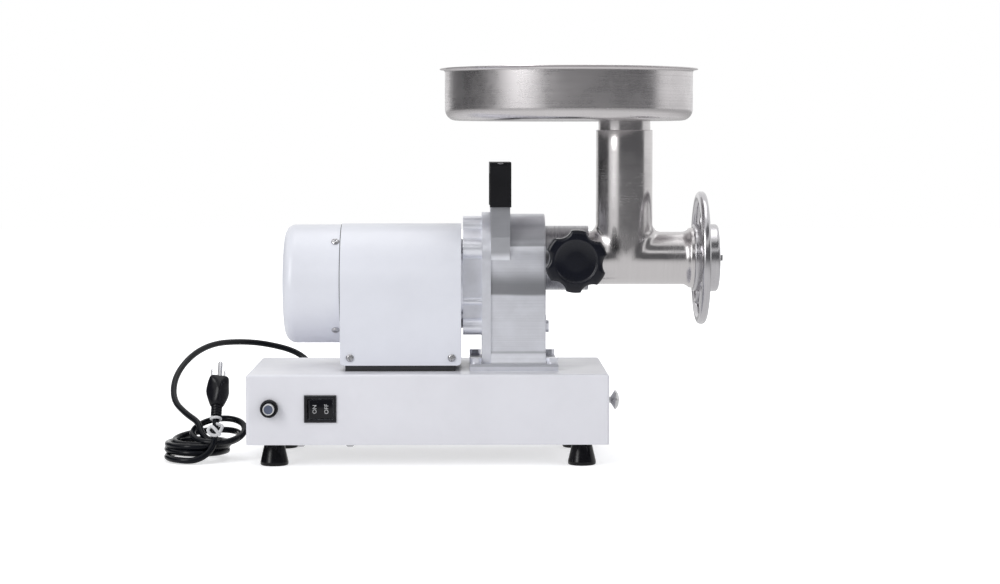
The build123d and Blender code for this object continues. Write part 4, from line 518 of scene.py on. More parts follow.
@dataclass(frozen=True)
class Brushed(Finish):
    """Metal with fine working lines, handled and wiped; another lay may start at a level."""

    rough: Pair = (0.16, 0.3)
    depth: float = 0.000012
    soften: float = 0.0004
    lay: Lay = Lay.AROUND_X
    dark: float = 0.82
    upper_lay: Lay | None = None
    upper_from: float = 0.0

    def shading(self) -> dict[str, float]:
        """Returns brushed metal's values."""
        return {"Metallic": 1.0, "Anisotropic": 0.35}

    def look(self, graph: Graph, where: Socket) -> tuple[Socket, Socket, Socket]:
        """Returns colour, roughness and height by the lines, with slow smudges."""
        lines = graph.effect(brushing(), where, Lines=self.lay.value)
        mask, height = lines.outputs["Mask"], lines.outputs["Height"]
        if self.upper_lay:
            upper = graph.effect(brushing(), where, Lines=self.upper_lay.value)
            level = graph.node("ShaderNodeSeparateXYZ", {0: where}).outputs[2]
            share = graph.step(level, self.upper_from, 0.006, 0.0, 1.0)
            mask = graph.node("ShaderNodeMix", {0: share, 2: mask, 3: upper.outputs["Mask"]}).outputs[0]
            height = graph.node("ShaderNodeMix", {0: share, 2: height, 3: upper.outputs["Height"]}).outputs[0]
        colour = graph.mix(mask, rgba(self.colour, self.dark), rgba(self.colour))
        smudge = graph.cloud(where, 26.0, 0.0, 0.09)
        rough = graph.math("ADD", graph.ramp(mask, 0.0, 1.0, self.rough[1], self.rough[0]), smudge)
        return colour, rough, height


@dataclass(frozen=True)
class Metal(Finish):
    """Plain, plated or cast metal with a grain of its own."""

    rough: Pair = (0.25, 0.4)
    peel: float = 700.0
    depth: float = 0.00005
    soften: float = 0.0005
    edge_wear_and_glint: Colour = (0.85, 0.85, 0.87)
    rough_scale: float = 45.0
    grain: Pair = (4200.0, 0.35)
    stain: Colour = (0.35, 0.34, 0.33)
    staining: float = 0.15
    metallic: float = 1.0

    def shading(self) -> dict[str, float]:
        """Returns the metal's share."""
        return {"Metallic": self.metallic}

    def tone(self, graph: Graph, where: Socket) -> Socket:
        """Returns the colour with slow stains."""
        return graph.mix(graph.cloud(where, 60.0, 0.0, self.staining), rgba(self.colour), rgba(self.stain))


@dataclass(frozen=True)
class LinishedWithPaintedBands(Metal):
    """Casting with linishing streaks and darker arms, painted reflection bands across its middle between the arms, and
    painted shade on its foot.
    """

    # Painted reflection bands across the flat front, and painted shade low on the skirt: (low, high, soft low, soft
    # high, share) each.
    painted_bands: tuple[tuple[float, float, float, float, float], ...] = ()
    streaks: float = 0.13
    arms_from: float = 0.0445
    arms_above: float = 0.19
    arms: float = 0.66
    # Painted shadow line along the flange at the foot: (low, high, share).
    foot: tuple[float, float, float] = (0.0930, 0.0965, 0.42)

    def tone(self, graph: Graph, where: Socket) -> Socket:
        """Adds the streaks, the darker arms, the painted shadow line at the foot and the painted reflection and shade
        bands: (low, high, soft low, soft high, share) each.
        """
        lines = graph.effect(brushing(), where, Lines=Lay.ALONG_X.value)
        streak = graph.ramp(lines.outputs["Mask"], 0.0, 1.0, self.streaks, 0.0)
        colour = graph.mix(streak, super().tone(graph, where), rgba(self.colour, 0.45))
        place = graph.node("ShaderNodeSeparateXYZ", {0: where})
        height = place.outputs[2]
        wander = 0.004
        drift = graph.math("SUBTRACT", graph.noise(where, 16.0, 2.0), 0.5)
        level = graph.math("ADD", height, graph.times(drift, wander))
        reach = graph.math("ABSOLUTE", place.outputs[1])
        soft, foot_soft = 0.0008, 0.0006
        middle = graph.step(reach, self.arms_from, soft, 1.0, 0.0)
        sides = graph.step(reach, self.arms_from, soft, 0.0, self.arms)
        above = graph.step(height, self.arms_above, soft, 0.0, 1.0)
        low, high, share = self.foot
        rise = graph.step(height, low, foot_soft, 0.0, share)
        masks = [
            graph.times(sides, above),
            graph.times(rise, graph.step(height, high, foot_soft, 1.0, 0.0)),
        ]
        # Painted reflection bands and painted shade, only between the arms.
        for low, high, soft_low, soft_high, share in self.painted_bands:
            rise = graph.step(level, low, soft_low, 0.0, share)
            fall = graph.step(level, high, soft_high, 1.0, 0.0)
            masks.append(graph.times(graph.times(rise, fall), middle))
        for mask in masks:
            colour = graph.mix(mask, colour, rgba(self.colour, 0.2))
        return colour


@dataclass(frozen=True)
class Moulded(Finish):
    """Moulded plastic or rubber with a fine grain and paler edges: rubbed wear, and on the glossy blacks painted edge
    highlights.
    """

    rough: Pair = (0.35, 0.5)
    peel: float = 1500.0
    depth: float = 0.00004
    soften: float = 0.0005
    edge_wear_and_glint: Colour = (0.2, 0.2, 0.21)
    wear: float = 0.4
    drift: Pair = (40.0, 0.8)
    rough_scale: float = 55.0
    grain: Pair = (5200.0, 0.5)
    coat: float = 0.0
    mirror: float = 0.2

    def shading(self) -> dict[str, float]:
        """Returns the gloss."""
        return {"Specular IOR Level": self.mirror, "Coat Weight": self.coat, "Coat Roughness": 0.12}


STEEL: Colour = (0.62, 0.60, 0.605)

BASE_PAINT = Painted("base_paint", (0.865, 0.86, 0.905))
COVER_PAINT = Painted("cover_paint", (0.85, 0.86, 0.92), rough=(0.28, 0.38), peel=300.0)
# Black on the motor saddle, standing in for the shade in the gap under the motor cover.
SADDLE_SHADE_BLACK = Painted("black_paint", (0.022, 0.022, 0.024), edge_wear_and_glint=(0.15, 0.15, 0.15))
TRAY_STEEL = Brushed("tray_steel", (0.68, 0.655, 0.665), lay=Lay.AROUND_Z, rough=(0.2, 0.27), depth=0.000005, dark=0.94)
STEM_STEEL = Brushed("stem_steel", STEEL, lay=Lay.AROUND_Z, rough=(0.14, 0.2), depth=0.000004, dark=0.95)
NUT_STEEL = Brushed("nut_steel", (0.56, 0.55, 0.57), rough=(0.12, 0.2), depth=0.000006, dark=0.9)
HEAD_STEEL = Brushed(
    "head_steel", STEEL, rough=(0.14, 0.2), depth=0.0000015, dark=0.95, upper_lay=Lay.AROUND_Z,
    upper_from=0.226,
)
POLISHED = Brushed("polished_steel", (0.62, 0.62, 0.63), rough=(0.1, 0.18))
HUB_STEEL = Brushed("hub_steel", (0.50, 0.50, 0.52), rough=(0.2, 0.32))
CASTING = Metal(
    "cast_aluminium", (0.90, 0.91, 0.97), rough=(0.28, 0.38), peel=1600.0, depth=0.000012, staining=0.12, metallic=0.6
)
CASE_CASTING = LinishedWithPaintedBands(
    "case_aluminium", (0.90, 0.91, 0.97), rough=(0.28, 0.38), peel=1600.0, depth=0.00001, staining=0.12, metallic=0.55,
    # Painted dark bands: the upper ones stand in for reflections in the flat front, the lowest for shade on the skirt.
    painted_bands=(
        (0.1612, 0.180, 0.0015, 0.010, 0.78), (0.2085, 0.2115, 0.001, 0.003, 0.65),
        (0.212, 0.230, 0.004, 0.012, 0.6), (0.0, 0.1066, 0.001, 0.001, 0.5),
    ),
)
ZINC = Metal("zinc_steel", (0.54, 0.54, 0.56), rough=(0.2, 0.32))
TOOL_STEEL = Metal("tool_steel", (0.46, 0.46, 0.47), rough=(0.28, 0.42))
LAMINATIONS = Brushed("laminations", (0.22, 0.22, 0.23), rough=(0.4, 0.6), depth=0.00006)
COPPER = Metal("copper", (0.62, 0.28, 0.14), rough=(0.25, 0.4), peel=1400.0)
BRONZE = Metal("bronze", (0.56, 0.38, 0.17), rough=(0.3, 0.42))
CARBON = Moulded("carbon", (0.03, 0.03, 0.032), rough=(0.5, 0.65))
PLUG_BLACK = Moulded(
    "plug_black", (0.006, 0.006, 0.009), rough=(0.18, 0.28), peel=1600.0, depth=0.00001, edge_wear_and_glint=(0.10, 0.10, 0.12),
    mirror=0.22,
)
BLACK_PLASTIC = Moulded("black_plastic", (0.009, 0.009, 0.011), rough=(0.4, 0.54), peel=1800.0, edge_wear_and_glint=(0.08, 0.08, 0.09))
# The pale edges here are painted highlights along the rocker's edges.
GLOSS_BLACK = Moulded(
    "gloss_black", (0.006, 0.006, 0.009), rough=(0.16, 0.26), soften=0.0007, coat=0.2, wear=1.0, edge_wear_and_glint=(0.24, 0.25, 0.28)
)
# The pale bluish edges here are painted highlights on the rims of the lobes and notches.
KNOB_BLACK = Moulded(
    "knob_black", (0.006, 0.007, 0.013), rough=(0.18, 0.28), soften=0.0008, coat=0.3, wear=1.0,
    edge_wear_and_glint=(0.26, 0.28, 0.36), mirror=0.25
)
GREY_PLASTIC = Moulded("grey_plastic", (0.115, 0.135, 0.20), rough=(0.3, 0.42), edge_wear_and_glint=(0.4, 0.43, 0.5), mirror=0.4)
INSULATOR = Moulded("insulator", (0.30, 0.13, 0.05), rough=(0.4, 0.55), mirror=0.5)
FEET_RUBBER = Moulded(
    "feet_rubber", (0.006, 0.006, 0.008), rough=(0.14, 0.24), peel=1400.0, depth=0.00001, edge_wear_and_glint=(0.07, 0.07, 0.08),
    mirror=0.22,
)
CORD_RUBBER = Moulded(
    "cord_rubber", (0.004, 0.005, 0.008), rough=(0.12, 0.2), peel=1600.0, depth=0.000008, wear=0.05, mirror=0.16
)
WHITE_PLASTIC = Moulded("white_plastic", (0.76, 0.76, 0.77), rough=(0.3, 0.42), edge_wear_and_glint=(0.8, 0.8, 0.8), mirror=0.5)

# Finish of every node of the frame that stays as it is.
NODE_FINISHES: dict[Finish, tuple[str, ...]] = {
    BASE_PAINT: ("base_housing", "base_bottom_plate", "drawer_pan"),
    COVER_PAINT: ("motor_cover", "fan_cap"),
    # The saddle's black is painted shade for the gap under the cover.
    SADDLE_SHADE_BLACK: ("motor_saddle",),
    STEM_STEEL: ("tray_stem",),
    HUB_STEEL: ("hub_sleeve",),
    CASTING: ("end_bell", "case_back_plate", "rear_bracket", "drive_bolts"),
    CASE_CASTING: ("gear_case",),
    ZINC: ("base_screws", "drawer_rails", "nut_washer", "plug_contacts", "lock_stud"),
    POLISHED: ("auger", "output_shaft", "motor_shaft", "drawer_knob"),
    TOOL_STEEL: (
        "grinding_plate", "cutting_knife", "ball_bearings", "bearing_carrier", "motor_pinion", "first_gear",
        "first_countershaft", "second_gear", "second_countershaft", "output_gear",
    ),
    LAMINATIONS: ("stator_core", "armature"),
    COPPER: ("field_coils", "armature_windings", "commutator"),
    BRONZE: ("gearbox_bushes", "lock_pad"),
    CARBON: ("carbon_brushes",),
    INSULATOR: ("brush_holders",),
    BLACK_PLASTIC: ("handle_grip", "cooling_fan", "circuit_breaker"),
    GLOSS_BLACK: ("switch_housing",),
    GREY_PLASTIC: ("reset_button",),
}


def wear(made: Obj, finish: Finish) -> Obj:
    """Puts a finish on a piece."""
    made.data.materials.clear()
    made.data.materials.append(finish.material())
    return made


def lathe(
    name: str, axis: Axis, corners: Sequence[Point], centre: Point, finish: Finish, around: int, along: int = 5
) -> Obj:
    """Turns a piece from an outline with rounded corners.

    Args:
        name: Name of the piece.
        axis: Axis that it stands on.
        corners: (place along the axis, distance from it, radius of the corner) each.
        centre: Point that the axis passes through.
        finish: The piece's finish.
        around: Number of points around.
        along: Number of straight pieces in each rounding.

    Returns:
        The piece.
    """
    return wear(piece(name, [turned(axis, rounded(corners, along), centre, around)]), finish)


def keep(made: Obj, body: str, slot: str, *nodes: str) -> Obj:
    """Lets a piece ride on a body and hides the nodes that it stands for."""
    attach(made, body)
    if nodes:
        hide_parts(*nodes)
    LOG.info("%s rides on %s", made.name, body)
    return made


def dress_nodes() -> None:
    """Gives every node that stays its finish, on its own material slots."""
    for finish, names in NODE_FINISHES.items():
        for name in names:
            for place in frame["nodes"][name].material_slots:
                place.material = finish.material()


# ---- repeats
def set_down(name: str, model: Obj, places: Sequence[tuple[Vector, Vector, float]], finish: Finish) -> Obj:
    """Stands a model, in metres about the origin, on several places, and removes it.

    Args:
        name: Name of the new piece.
        model: The model, its Z along each place's facing.
        places: (point, facing, turn about the facing) each.
        finish: The piece's finish.

    Returns:
        The new piece.
    """
    start = bpy.data.meshes.new(name + "_places")
    start.from_pydata([tuple(point) for point, _, _ in places], [], [])
    start.attributes.new("facing", "FLOAT_VECTOR", "POINT")
    start.attributes.new("turn", "FLOAT", "POINT")
    for index, (_, way, angle) in enumerate(places):
        start.attributes["facing"].data[index].vector = way
        start.attributes["turn"].data[index].value = angle
    kinds = {"Places": GEOMETRY, "Piece": "NodeSocketObject", "Finish": "NodeSocketMaterial"}
    graph, (points, source, coat) = group(name + "_places", kinds, ("Geometry",), "Geometry")
    source = graph.node("GeometryNodeObjectInfo", {"Object": source})
    facing = graph.node("GeometryNodeInputNamedAttribute", {"Name": "facing"}, data_type="FLOAT_VECTOR")
    turn = graph.node("GeometryNodeInputNamedAttribute", {"Name": "turn"}, data_type="FLOAT")
    stand = graph.node("FunctionNodeAlignRotationToVector", {"Vector": facing.outputs[0]}, axis="Z")
    twist = graph.node("FunctionNodeAxisAngleToRotation", {"Axis": (0, 0, 1), "Angle": turn.outputs[0]})
    both = graph.node("FunctionNodeRotateRotation", {0: stand.outputs[0], 1: twist.outputs[0]}, rotation_space="LOCAL")
    copies = graph.node("GeometryNodeInstanceOnPoints", {
        "Points": points, "Instance": source.outputs["Geometry"], "Rotation": both.outputs[0],
    })
    real = graph.node("GeometryNodeRealizeInstances", {0: copies.outputs[0]})
    dressed = graph.node("GeometryNodeSetMaterial", {"Geometry": real.outputs[0], "Material": coat})
    graph.node("NodeGroupOutput", {0: dressed.outputs[0]})
    made = put(name, start)
    step = made.modifiers.new("repeat", "NODES")
    step.node_group = graph.tree
    values = {"Piece": model, "Finish": finish.material()}
    for item in graph.tree.interface.items_tree:
        if item.name in values:
            step[item.identifier] = values[item.name]
    settle(made)
    bpy.data.objects.remove(model)
    return made


def model_turned(name: str, outline: Outline, steps: int) -> Obj:
    """Makes a model turned about Z at the origin, in metres, for setting down in places."""
    rows = [
        [Vector((radius * cos(angle), radius * sin(angle), height)) * MM for angle in round_angles(steps)]
        for height, radius in outline
    ]
    return piece(name, [spread(rows, ring=True)])


def pan_head(radius: float, height: float) -> Obj:
    """Makes a cross-head screw head that stands on Z = 0."""
    outline = rounded([(-1.0, 0, 0), (-1.0, 0.5 * radius, 0), (0, 0.5 * radius, 0), (0, radius, 0.15),
                       (0.45 * height, radius, 0.5), (0.95 * height, 0.6 * radius, 1.2), (height, 0, 0)], 4)
    tools = []
    for wide, deep in ((0.62 * radius, 0.5), (0.5, 0.62 * radius)):
        rows = [[Vector((wide * a, deep * b, level * height)) * MM for a, b in SQUARE] for level in (0.5, 1.5)]
        tools.append(piece("slot", [closed(rows)]))
    return cut(model_turned("screw_head", outline, 40), tools)


# ---- studio
@dataclass
class Studio:
    """Camera, pale floor, soft lamps and the dim screens that polished steel mirrors."""

    eye: Point = (-0.0208, -2.300, 0.3085)
    lens: float = 84.46
    turned_right: float = 0.806
    tilted_down: float = 3.658
    aim: Point = (0.0, 0.0, 0.2)
    world_light: float = 0.47
    floor_half: float = 6.0
    floor_grey: float = 0.88
    # Glow of the floor near the grinder, and the distances between which it rises to white.
    floor_glow: float = 0.58
    floor_fade: Pair = (0.55, 1.3)
    # Brightness of the floor in polished metal near and far, and where it changes.
    floor_mirrored: Pair = (0.86, 0.52)
    mirrored_fade: Pair = (0.4, 1.5)

    def build(self) -> None:
        """Sets the camera, the world, the floor, the lamps and the dark screens."""
        self.camera()
        self.world()
        self.floor()
        self.lamp("key_lamp", (-1.70, -1.75, 1.25), (0.85, 1.7), 23.6)
        self.lamp("fill_lamp", (1.9, -1.3, 1.1), (1.4, 1.4), 10.0).visible_glossy = False
        self.lamp("top_lamp", (0.1, 0.3, 2.3), (1.6, 1.6), 11.0)
        self.screen("right_screen", (-25.0, 84.0), 3.1, (-0.4, 1.5), 0.13)
        self.screen("high_screen", (-10.0, 70.0), 2.9, (2.1, 4.6), 0.13)
        self.screen("left_screen", (-142.0, -68.0), 3.1, (-0.4, 1.6), 0.09)

    def camera(self) -> None:
        """Sets the camera at its place."""
        data = bpy.data.cameras.new("camera")
        data.sensor_width = 36.0
        data.lens = self.lens
        data.clip_end = 50.0
        made = put("camera", data)
        made.location = self.eye
        made.rotation_euler = (radians(90.0 - self.tilted_down), 0.0, -radians(self.turned_right))
        bpy.context.scene.camera = made
        bpy.context.scene.view_settings.view_transform = "Standard"

    def world(self) -> None:
        """White where the camera, polish or glass looks, and a plain soft light for the rest."""
        world = bpy.data.worlds.new("studio")
        bpy.context.scene.world = world
        graph = blank(world)
        path = graph.node("ShaderNodeLightPath")
        looks = graph.math("MAXIMUM", path.outputs["Is Camera Ray"], path.outputs["Is Glossy Ray"])
        looks = graph.math("MAXIMUM", looks, path.outputs["Is Transmission Ray"])
        lit = graph.node("ShaderNodeBackground", {"Color": (0.94, 0.96, 1.0, 1.0), "Strength": self.world_light})
        seen = graph.node("ShaderNodeBackground", {"Color": (1.0, 1.0, 1.0, 1.0), "Strength": 1.0})
        both = graph.node("ShaderNodeMixShader", {0: looks, 1: lit.outputs[0], 2: seen.outputs[0]})
        graph.node("ShaderNodeOutputWorld", {"Surface": both.outputs[0]})

    def floor(self) -> None:
        """Pale floor that keeps the shadow and melts into the white round it."""
        half = self.floor_half
        corners = [Vector((a * half, b * half, 0.0)) for a, b in SQUARE]
        made = piece("floor", [(corners, [(0, 1, 2, 3)])])
        finish = bpy.data.materials.new("floor_white")
        graph = blank(finish)
        path = graph.node("ShaderNodeLightPath")
        looks = graph.math("MAXIMUM", path.outputs["Is Camera Ray"], path.outputs["Is Transmission Ray"])
        paper = graph.node("ShaderNodeBsdfDiffuse", {"Color": rgba((self.floor_grey,) * 3)})
        place = graph.node("ShaderNodeTexCoord").outputs["Object"]
        away = graph.node("ShaderNodeVectorMath", {0: place}, operation="LENGTH").outputs["Value"]
        share = graph.ramp(away, *self.floor_fade, self.floor_glow, 1.0)
        glow = graph.node("ShaderNodeEmission", {
            "Color": (1.0, 1.0, 1.0, 1.0), "Strength": graph.times(looks, share),
        })
        both = graph.node("ShaderNodeAddShader", {0: paper.outputs[0], 1: glow.outputs[0]})
        mirrored = graph.ramp(away, *self.mirrored_fade, *self.floor_mirrored)
        dim = graph.node("ShaderNodeEmission", {"Strength": mirrored})
        seen = graph.node(
            "ShaderNodeMixShader", {0: path.outputs["Is Glossy Ray"], 1: both.outputs[0], 2: dim.outputs[0]}
        )
        graph.node("ShaderNodeOutputMaterial", {"Surface": seen.outputs[0]})
        made.data.materials.append(finish)

    def lamp(self, name: str, place: Point, size: Pair, watts: float) -> Obj:
        """Adds one soft lamp of size (wide, high) that looks at the grinder."""
        data = bpy.data.lights.new(name, "AREA")
        data.shape = "RECTANGLE"
        data.size, data.size_y = size
        data.energy = watts
        made = put(name, data)
        made.location = place
        made.rotation_euler = (Vector(self.aim) - Vector(place)).to_track_quat("-Z", "Y").to_euler()
        return made

    @staticmethod
    def screen(name: str, sides: Pair, radius: float, edges: Pair, tone: float) -> None:
        """Adds a curved dim screen that only polished surfaces see.

        Args:
            name: Name of the screen.
            sides: Angles in degrees to the right of the front at which it starts and ends.
            radius: Distance from the grinder in metres.
            edges: Heights of its lower and upper edge in metres.
            tone: Brightness, 1 being white.
        """
        steps = 24
        start, end = sides
        turns = [radians(start + (end - start) * step / steps) for step in range(steps + 1)]
        points = [Vector((radius * sin(turn), -radius * cos(turn), height)) for height in edges for turn in turns]
        faces = [(k, k + 1, k + steps + 2, k + steps + 1) for k in range(steps)]
        made = piece(name, [(points, faces)])
        finish = bpy.data.materials.new(name)
        graph = blank(finish)
        dim = graph.node("ShaderNodeEmission", {"Color": (tone, tone, 1.04 * tone, 1.0), "Strength": 1.0})
        graph.node("ShaderNodeOutputMaterial", {"Surface": dim.outputs[0]})
        made.data.materials.append(finish)
        for rays in ("camera", "diffuse", "shadow", "transmission"):
            setattr(made, "visible_" + rays, False)


# ---- cord
def spiral(turns: Sequence[tuple[float, ...]], start: float, end: float, steps: int) -> list[Point]:
    """Control points of loose turns that differ from each other and run into one another.

    Args:
        turns: For each turn its centre x and y, its half sizes along x and y, its height in front and behind.
        start: Angle in degrees from +X at which the first turn starts.
        end: Angle in degrees at which the last turn ends.
        steps: Points in a turn.

    Returns:
        Points in millimetres.
    """
    points = []
    count = ceil((end - start) / 360 * steps)
    for step in range(count + 1):
        angle = start + (end - start) * step / count
        place = min((angle - start) / 360, len(turns) - 1.001)
        low = int(place)
        x, y, half_x, half_y, front, back = (a + (b - a) * (place - low) for a, b in zip(turns[low], turns[low + 1]))
        turn = radians(angle)
        rise = (1 + sin(turn)) / 2
        points.append((x + half_x * cos(turn), y + half_y * sin(turn), front + (back - front) * rise))
    return points


@dataclass
class Cord:
    """Mains cord: out of the boot, round behind the machine to a tied hank, and up to the plug."""

    radius: float = 3.1
    exit_point: Point = (-174.4, 112.0, 55.0)
    # Corner points of the free run, as in the part's source.
    route: tuple[Point, ...] = (
        (-174.4, 112.0, 55.0), (-174.4, 131.0, 55.0), (-174.0, 150.0, 72.0), (-192.0, 162.8, 88.5),
        (-226.0, 160.0, 97.5), (-252.0, 140.0, 101.2), (-276.0, 108.0, 101.8), (-294.0, 72.0, 93.0),
        (-306.5, 38.0, 75.0), (-305.0, 10.0, 54.0), (-289.0, -14.0, 43.0), (-276.0, -25.0, 36.5),
        (-272.0, -34.5, 27.5),
    )
    plug_place: Point = (-257.4, -38.0, 43.0)
    plug_lean: float = 35.0
    plug_turn: float = 194.5
    contact_pitch: float = 12.7
    earth_offset: float = 11.9
    length: float = 1.50

    def handover(self) -> list[Point]:
        """Control points that lead the free run's end round into the first turn."""
        place = Vector(self.route[-1])
        ahead = (place - Vector(self.route[-2])).normalized()
        turn = ahead.rotation_difference(Vector((1.0, 0.0, 0.0)))
        leg, first, more = 6.3, 0.19, 0.23
        points = []
        for step in range(4):
            place = place + leg * (Quaternion().slerp(turn, first + more * step) @ ahead)
            points.append(tuple(place))
        return points

    def loops(self) -> list[Point]:
        """Control points of the hank: an upright turn on top, flat turns down to the floor, the rise to the plug."""
        turns = [
            (-252.4, -24.9, 22.1, 19.1, 18.0, 41.5),
            (-258.0, -29.1, 26.6, 24.1, 19.5, 33.5),
            (-277.1, -22.0, 28.5, 28.1, 17.0, 16.0),
            (-277.2, -22.0, 30.0, 36.5, 16.0, 14.4),
            (-277.0, -22.5, 30.0, 36.0, 9.6, 8.6),
            (-276.5, -22.5, 25.0, 30.5, 9.4, 8.2),
            (-281.4, -39.6, 25.8, 26.0, 3.4, 3.4),
            (-281.4, -39.6, 25.8, 26.0, 3.4, 3.4),
        ]
        points = self.handover()
        start, end, steps = 289.0, 270.0 + 360 * 6, 14
        points += spiral(turns, start, end, steps)
        bend = 24.0
        low = Vector(points[-1])
        up = self.lean() @ UP
        for step in range(1, 6):
            angle = radians(18 * step)
            points.append(tuple(low + bend * (Vector((sin(angle), 0.0, 0.0)) + (1 - cos(angle)) * up)))
        return points

    def lean(self) -> Matrix:
        """Returns the plug's turn, its own Z running from the cord to the contacts."""
        return Matrix.Rotation(-radians(self.plug_lean), 3, "X") @ Matrix.Rotation(radians(self.plug_turn), 3, "Z")

    def on_plug(self, x: float, y: float, z: float) -> Vector:
        """Returns a point of the plug in metres."""
        return at(*(Vector(self.plug_place) + self.lean() @ Vector((x, y, z))))

    def curve(self) -> Obj:
        """Makes the cord as one open spline."""
        points = [at(*point) for point in list(self.route) + self.loops()]
        points += [self.on_plug(0, 0, -6.0), self.on_plug(0, 0, 1.0), self.on_plug(0, 0, 6.0)]
        data = bpy.data.curves.new("power_cord_line", "CURVE")
        data.dimensions = "3D"
        spline = data.splines.new("NURBS")
        spline.points.add(len(points) - 1)
        for control, point in zip(spline.points, points):
            control.co = (*point, 1.0)
        spline.order_u = 3
        spline.use_endpoint_u = True
        data.resolution_u = 6
        data.bevel_depth = self.radius * MM
        data.bevel_resolution = 4
        data.use_fill_caps = True
        data.materials.append(CORD_RUBBER.material())
        return put("power_cord_line", data)

    def boot(self) -> Obj:
        """Makes the ribbed, tapered boot that the cord leaves the housing by."""
        corners = [(83.0, 3.3, 0), (83.0, 5.2, 0), (90.0, 5.2, 0), (90.0, 8.0, 0.4), (93.0, 8.0, 0.8), (93.4, 6.4, 0.3)]
        for rib in range(5):
            start, thick = 94.2 + rib * 3.4, 6.2 - 0.42 * rib
            groove = ((0.0, 0.0, 0.5), (2.0, 0.1, 0.5), (2.3, 1.1, 0.2), (3.1, 1.2, 0.2))
            corners += [(start + along, thick - less, radius) for along, less, radius in groove]
        corners += [(112.6, 4.0, 0.4), (112.6, 3.3, 0)]
        x, _, z = self.exit_point
        return lathe("cord_boot", Axis.Y, corners, (x, 0, z), BLACK_PLASTIC, 40, 3)

    def plug(self) -> Obj:
        """Makes the moulded plug with its ribbed relief."""
        sizes = [(0.0, 3.3, 3.3, 2.0)]
        for rib in range(4):
            z = 0.4 + rib * 2.8
            sizes += [(z, 5.2, 5.2, 2.0), (z + 1.5, 5.4, 5.4, 2.0), (z + 1.8, 4.4, 4.4, 2.0), (z + 2.5, 4.4, 4.4, 2.0)]
        sizes += [
            (11.8, 5.6, 6.0, 1.9), (13.0, 6.8, 7.4, 1.7), (18.0, 8.9, 9.8, 1.45), (23.0, 10.6, 11.7, 1.38),
            (27.0, 11.3, 12.4, 1.42), (31.0, 11.1, 12.1, 1.6), (34.5, 10.6, 11.6, 2.2), (36.5, 10.2, 11.2, 3.4),
            (39.6, 9.7, 10.7, 4.2), (40.7, 9.2, 10.2, 4.2), (41.0, 8.4, 9.4, 4.0),
        ]
        made = piece("plug_moulding", [closed([self.plug_row(*size, 48) for size in sizes])], 42)
        return wear(made, PLUG_BLACK)

    def plug_row(
        self, z: float, half_x: float, half_y: float, power: float, steps: int, centre: Pair = (0, 0)
    ) -> Row:
        """Returns one section of a piece of the plug, about a centre in its (x, y)."""
        x, y = centre
        return [self.on_plug(x + a, y + b, z) for a, b in superellipse(half_x, half_y, power, steps)]

    def contacts(self) -> Obj:
        """Makes two flat blades with chamfered tips and the round earth pin."""
        back = -0.3 * self.earth_offset
        blade = ((39.0, 0.75, 3.15), (51.8, 0.75, 3.15), (53.4, 0.7, 2.6), (54.0, 0.35, 2.0))
        earth = ((39.0, 2.2), (54.6, 2.2), (56.0, 1.8), (56.8, 1.1), (57.0, 0.4))
        parts = []
        for side in (-1, 1):
            centre = (side * self.contact_pitch / 2, back)
            parts.append(closed([self.plug_row(*size, 8.0, 24, centre) for size in blade]))
        centre = (0, back + self.earth_offset)
        parts.append(closed([self.plug_row(z, radius, radius, 2.0, 24, centre) for z, radius in earth]))
        return wear(piece("plug_pins", parts, 30), ZINC)

    def tie(self) -> Obj:
        """Makes the plastic-covered wire round the cord, with its twisted ends in front."""
        angles = [2 * pi * step / 36 for step in range(40)]
        ring = [self.on_plug(4.5 * cos(turn), 4.5 * sin(turn), -3.0 + 0.04 * step) for step, turn in enumerate(angles)]
        bow = [(-256.5, -43.5, 37.0), (-252.0, -50.0, 36.5), (-249.5, -57.0, 36.0), (-251.0, -60.5, 32.0),
               (-255.0, -60.8, 28.0), (-260.5, -60.0, 29.0), (-262.8, -59.6, 33.0), (-260.0, -59.9, 36.5),
               (-256.5, -61.2, 34.5), (-253.6, -61.8, 31.2), (-251.0, -61.0, 28.0)]
        path = [at(*point) for point in self.smooth(bow, 6)]
        parts = [tube(ring, 1.4 * MM, 10), tube(path, 1.6 * MM, 10)]
        return wear(piece("wire_tie", parts), WHITE_PLASTIC)

    @staticmethod
    def smooth(points: Sequence[Point], steps: int) -> list[Point]:
        """Runs a smooth line through a short list of points."""
        line = []
        full = [points[0], *points, points[-1]]
        for index in range(1, len(full) - 2):
            a, b, c, d = (Vector(point) for point in full[index - 1:index + 3])
            for step in range(steps):
                t = step / steps
                line.append(tuple(0.5 * (
                    2 * b + (c - a) * t + (2 * a - 5 * b + 4 * c - d) * t * t + (3 * b - a - 3 * c + d) * t**3
                )))
        return line + [tuple(points[-1])]

    def build(self) -> None:
        cord = keep(self.curve(), "machine", "cord_rubber", "power_cord", "cord_hank", "plug_lead")
        keep(self.boot(), "machine", "black_plastic", "cord_gland")
        carried = [
            keep(self.plug(), "machine", "black_plastic", "plug_body"),
            keep(self.contacts(), "machine", "zinc_steel", "plug_contacts"),
            keep(self.tie(), "machine", "white_plastic", "cord_tie"),
        ]


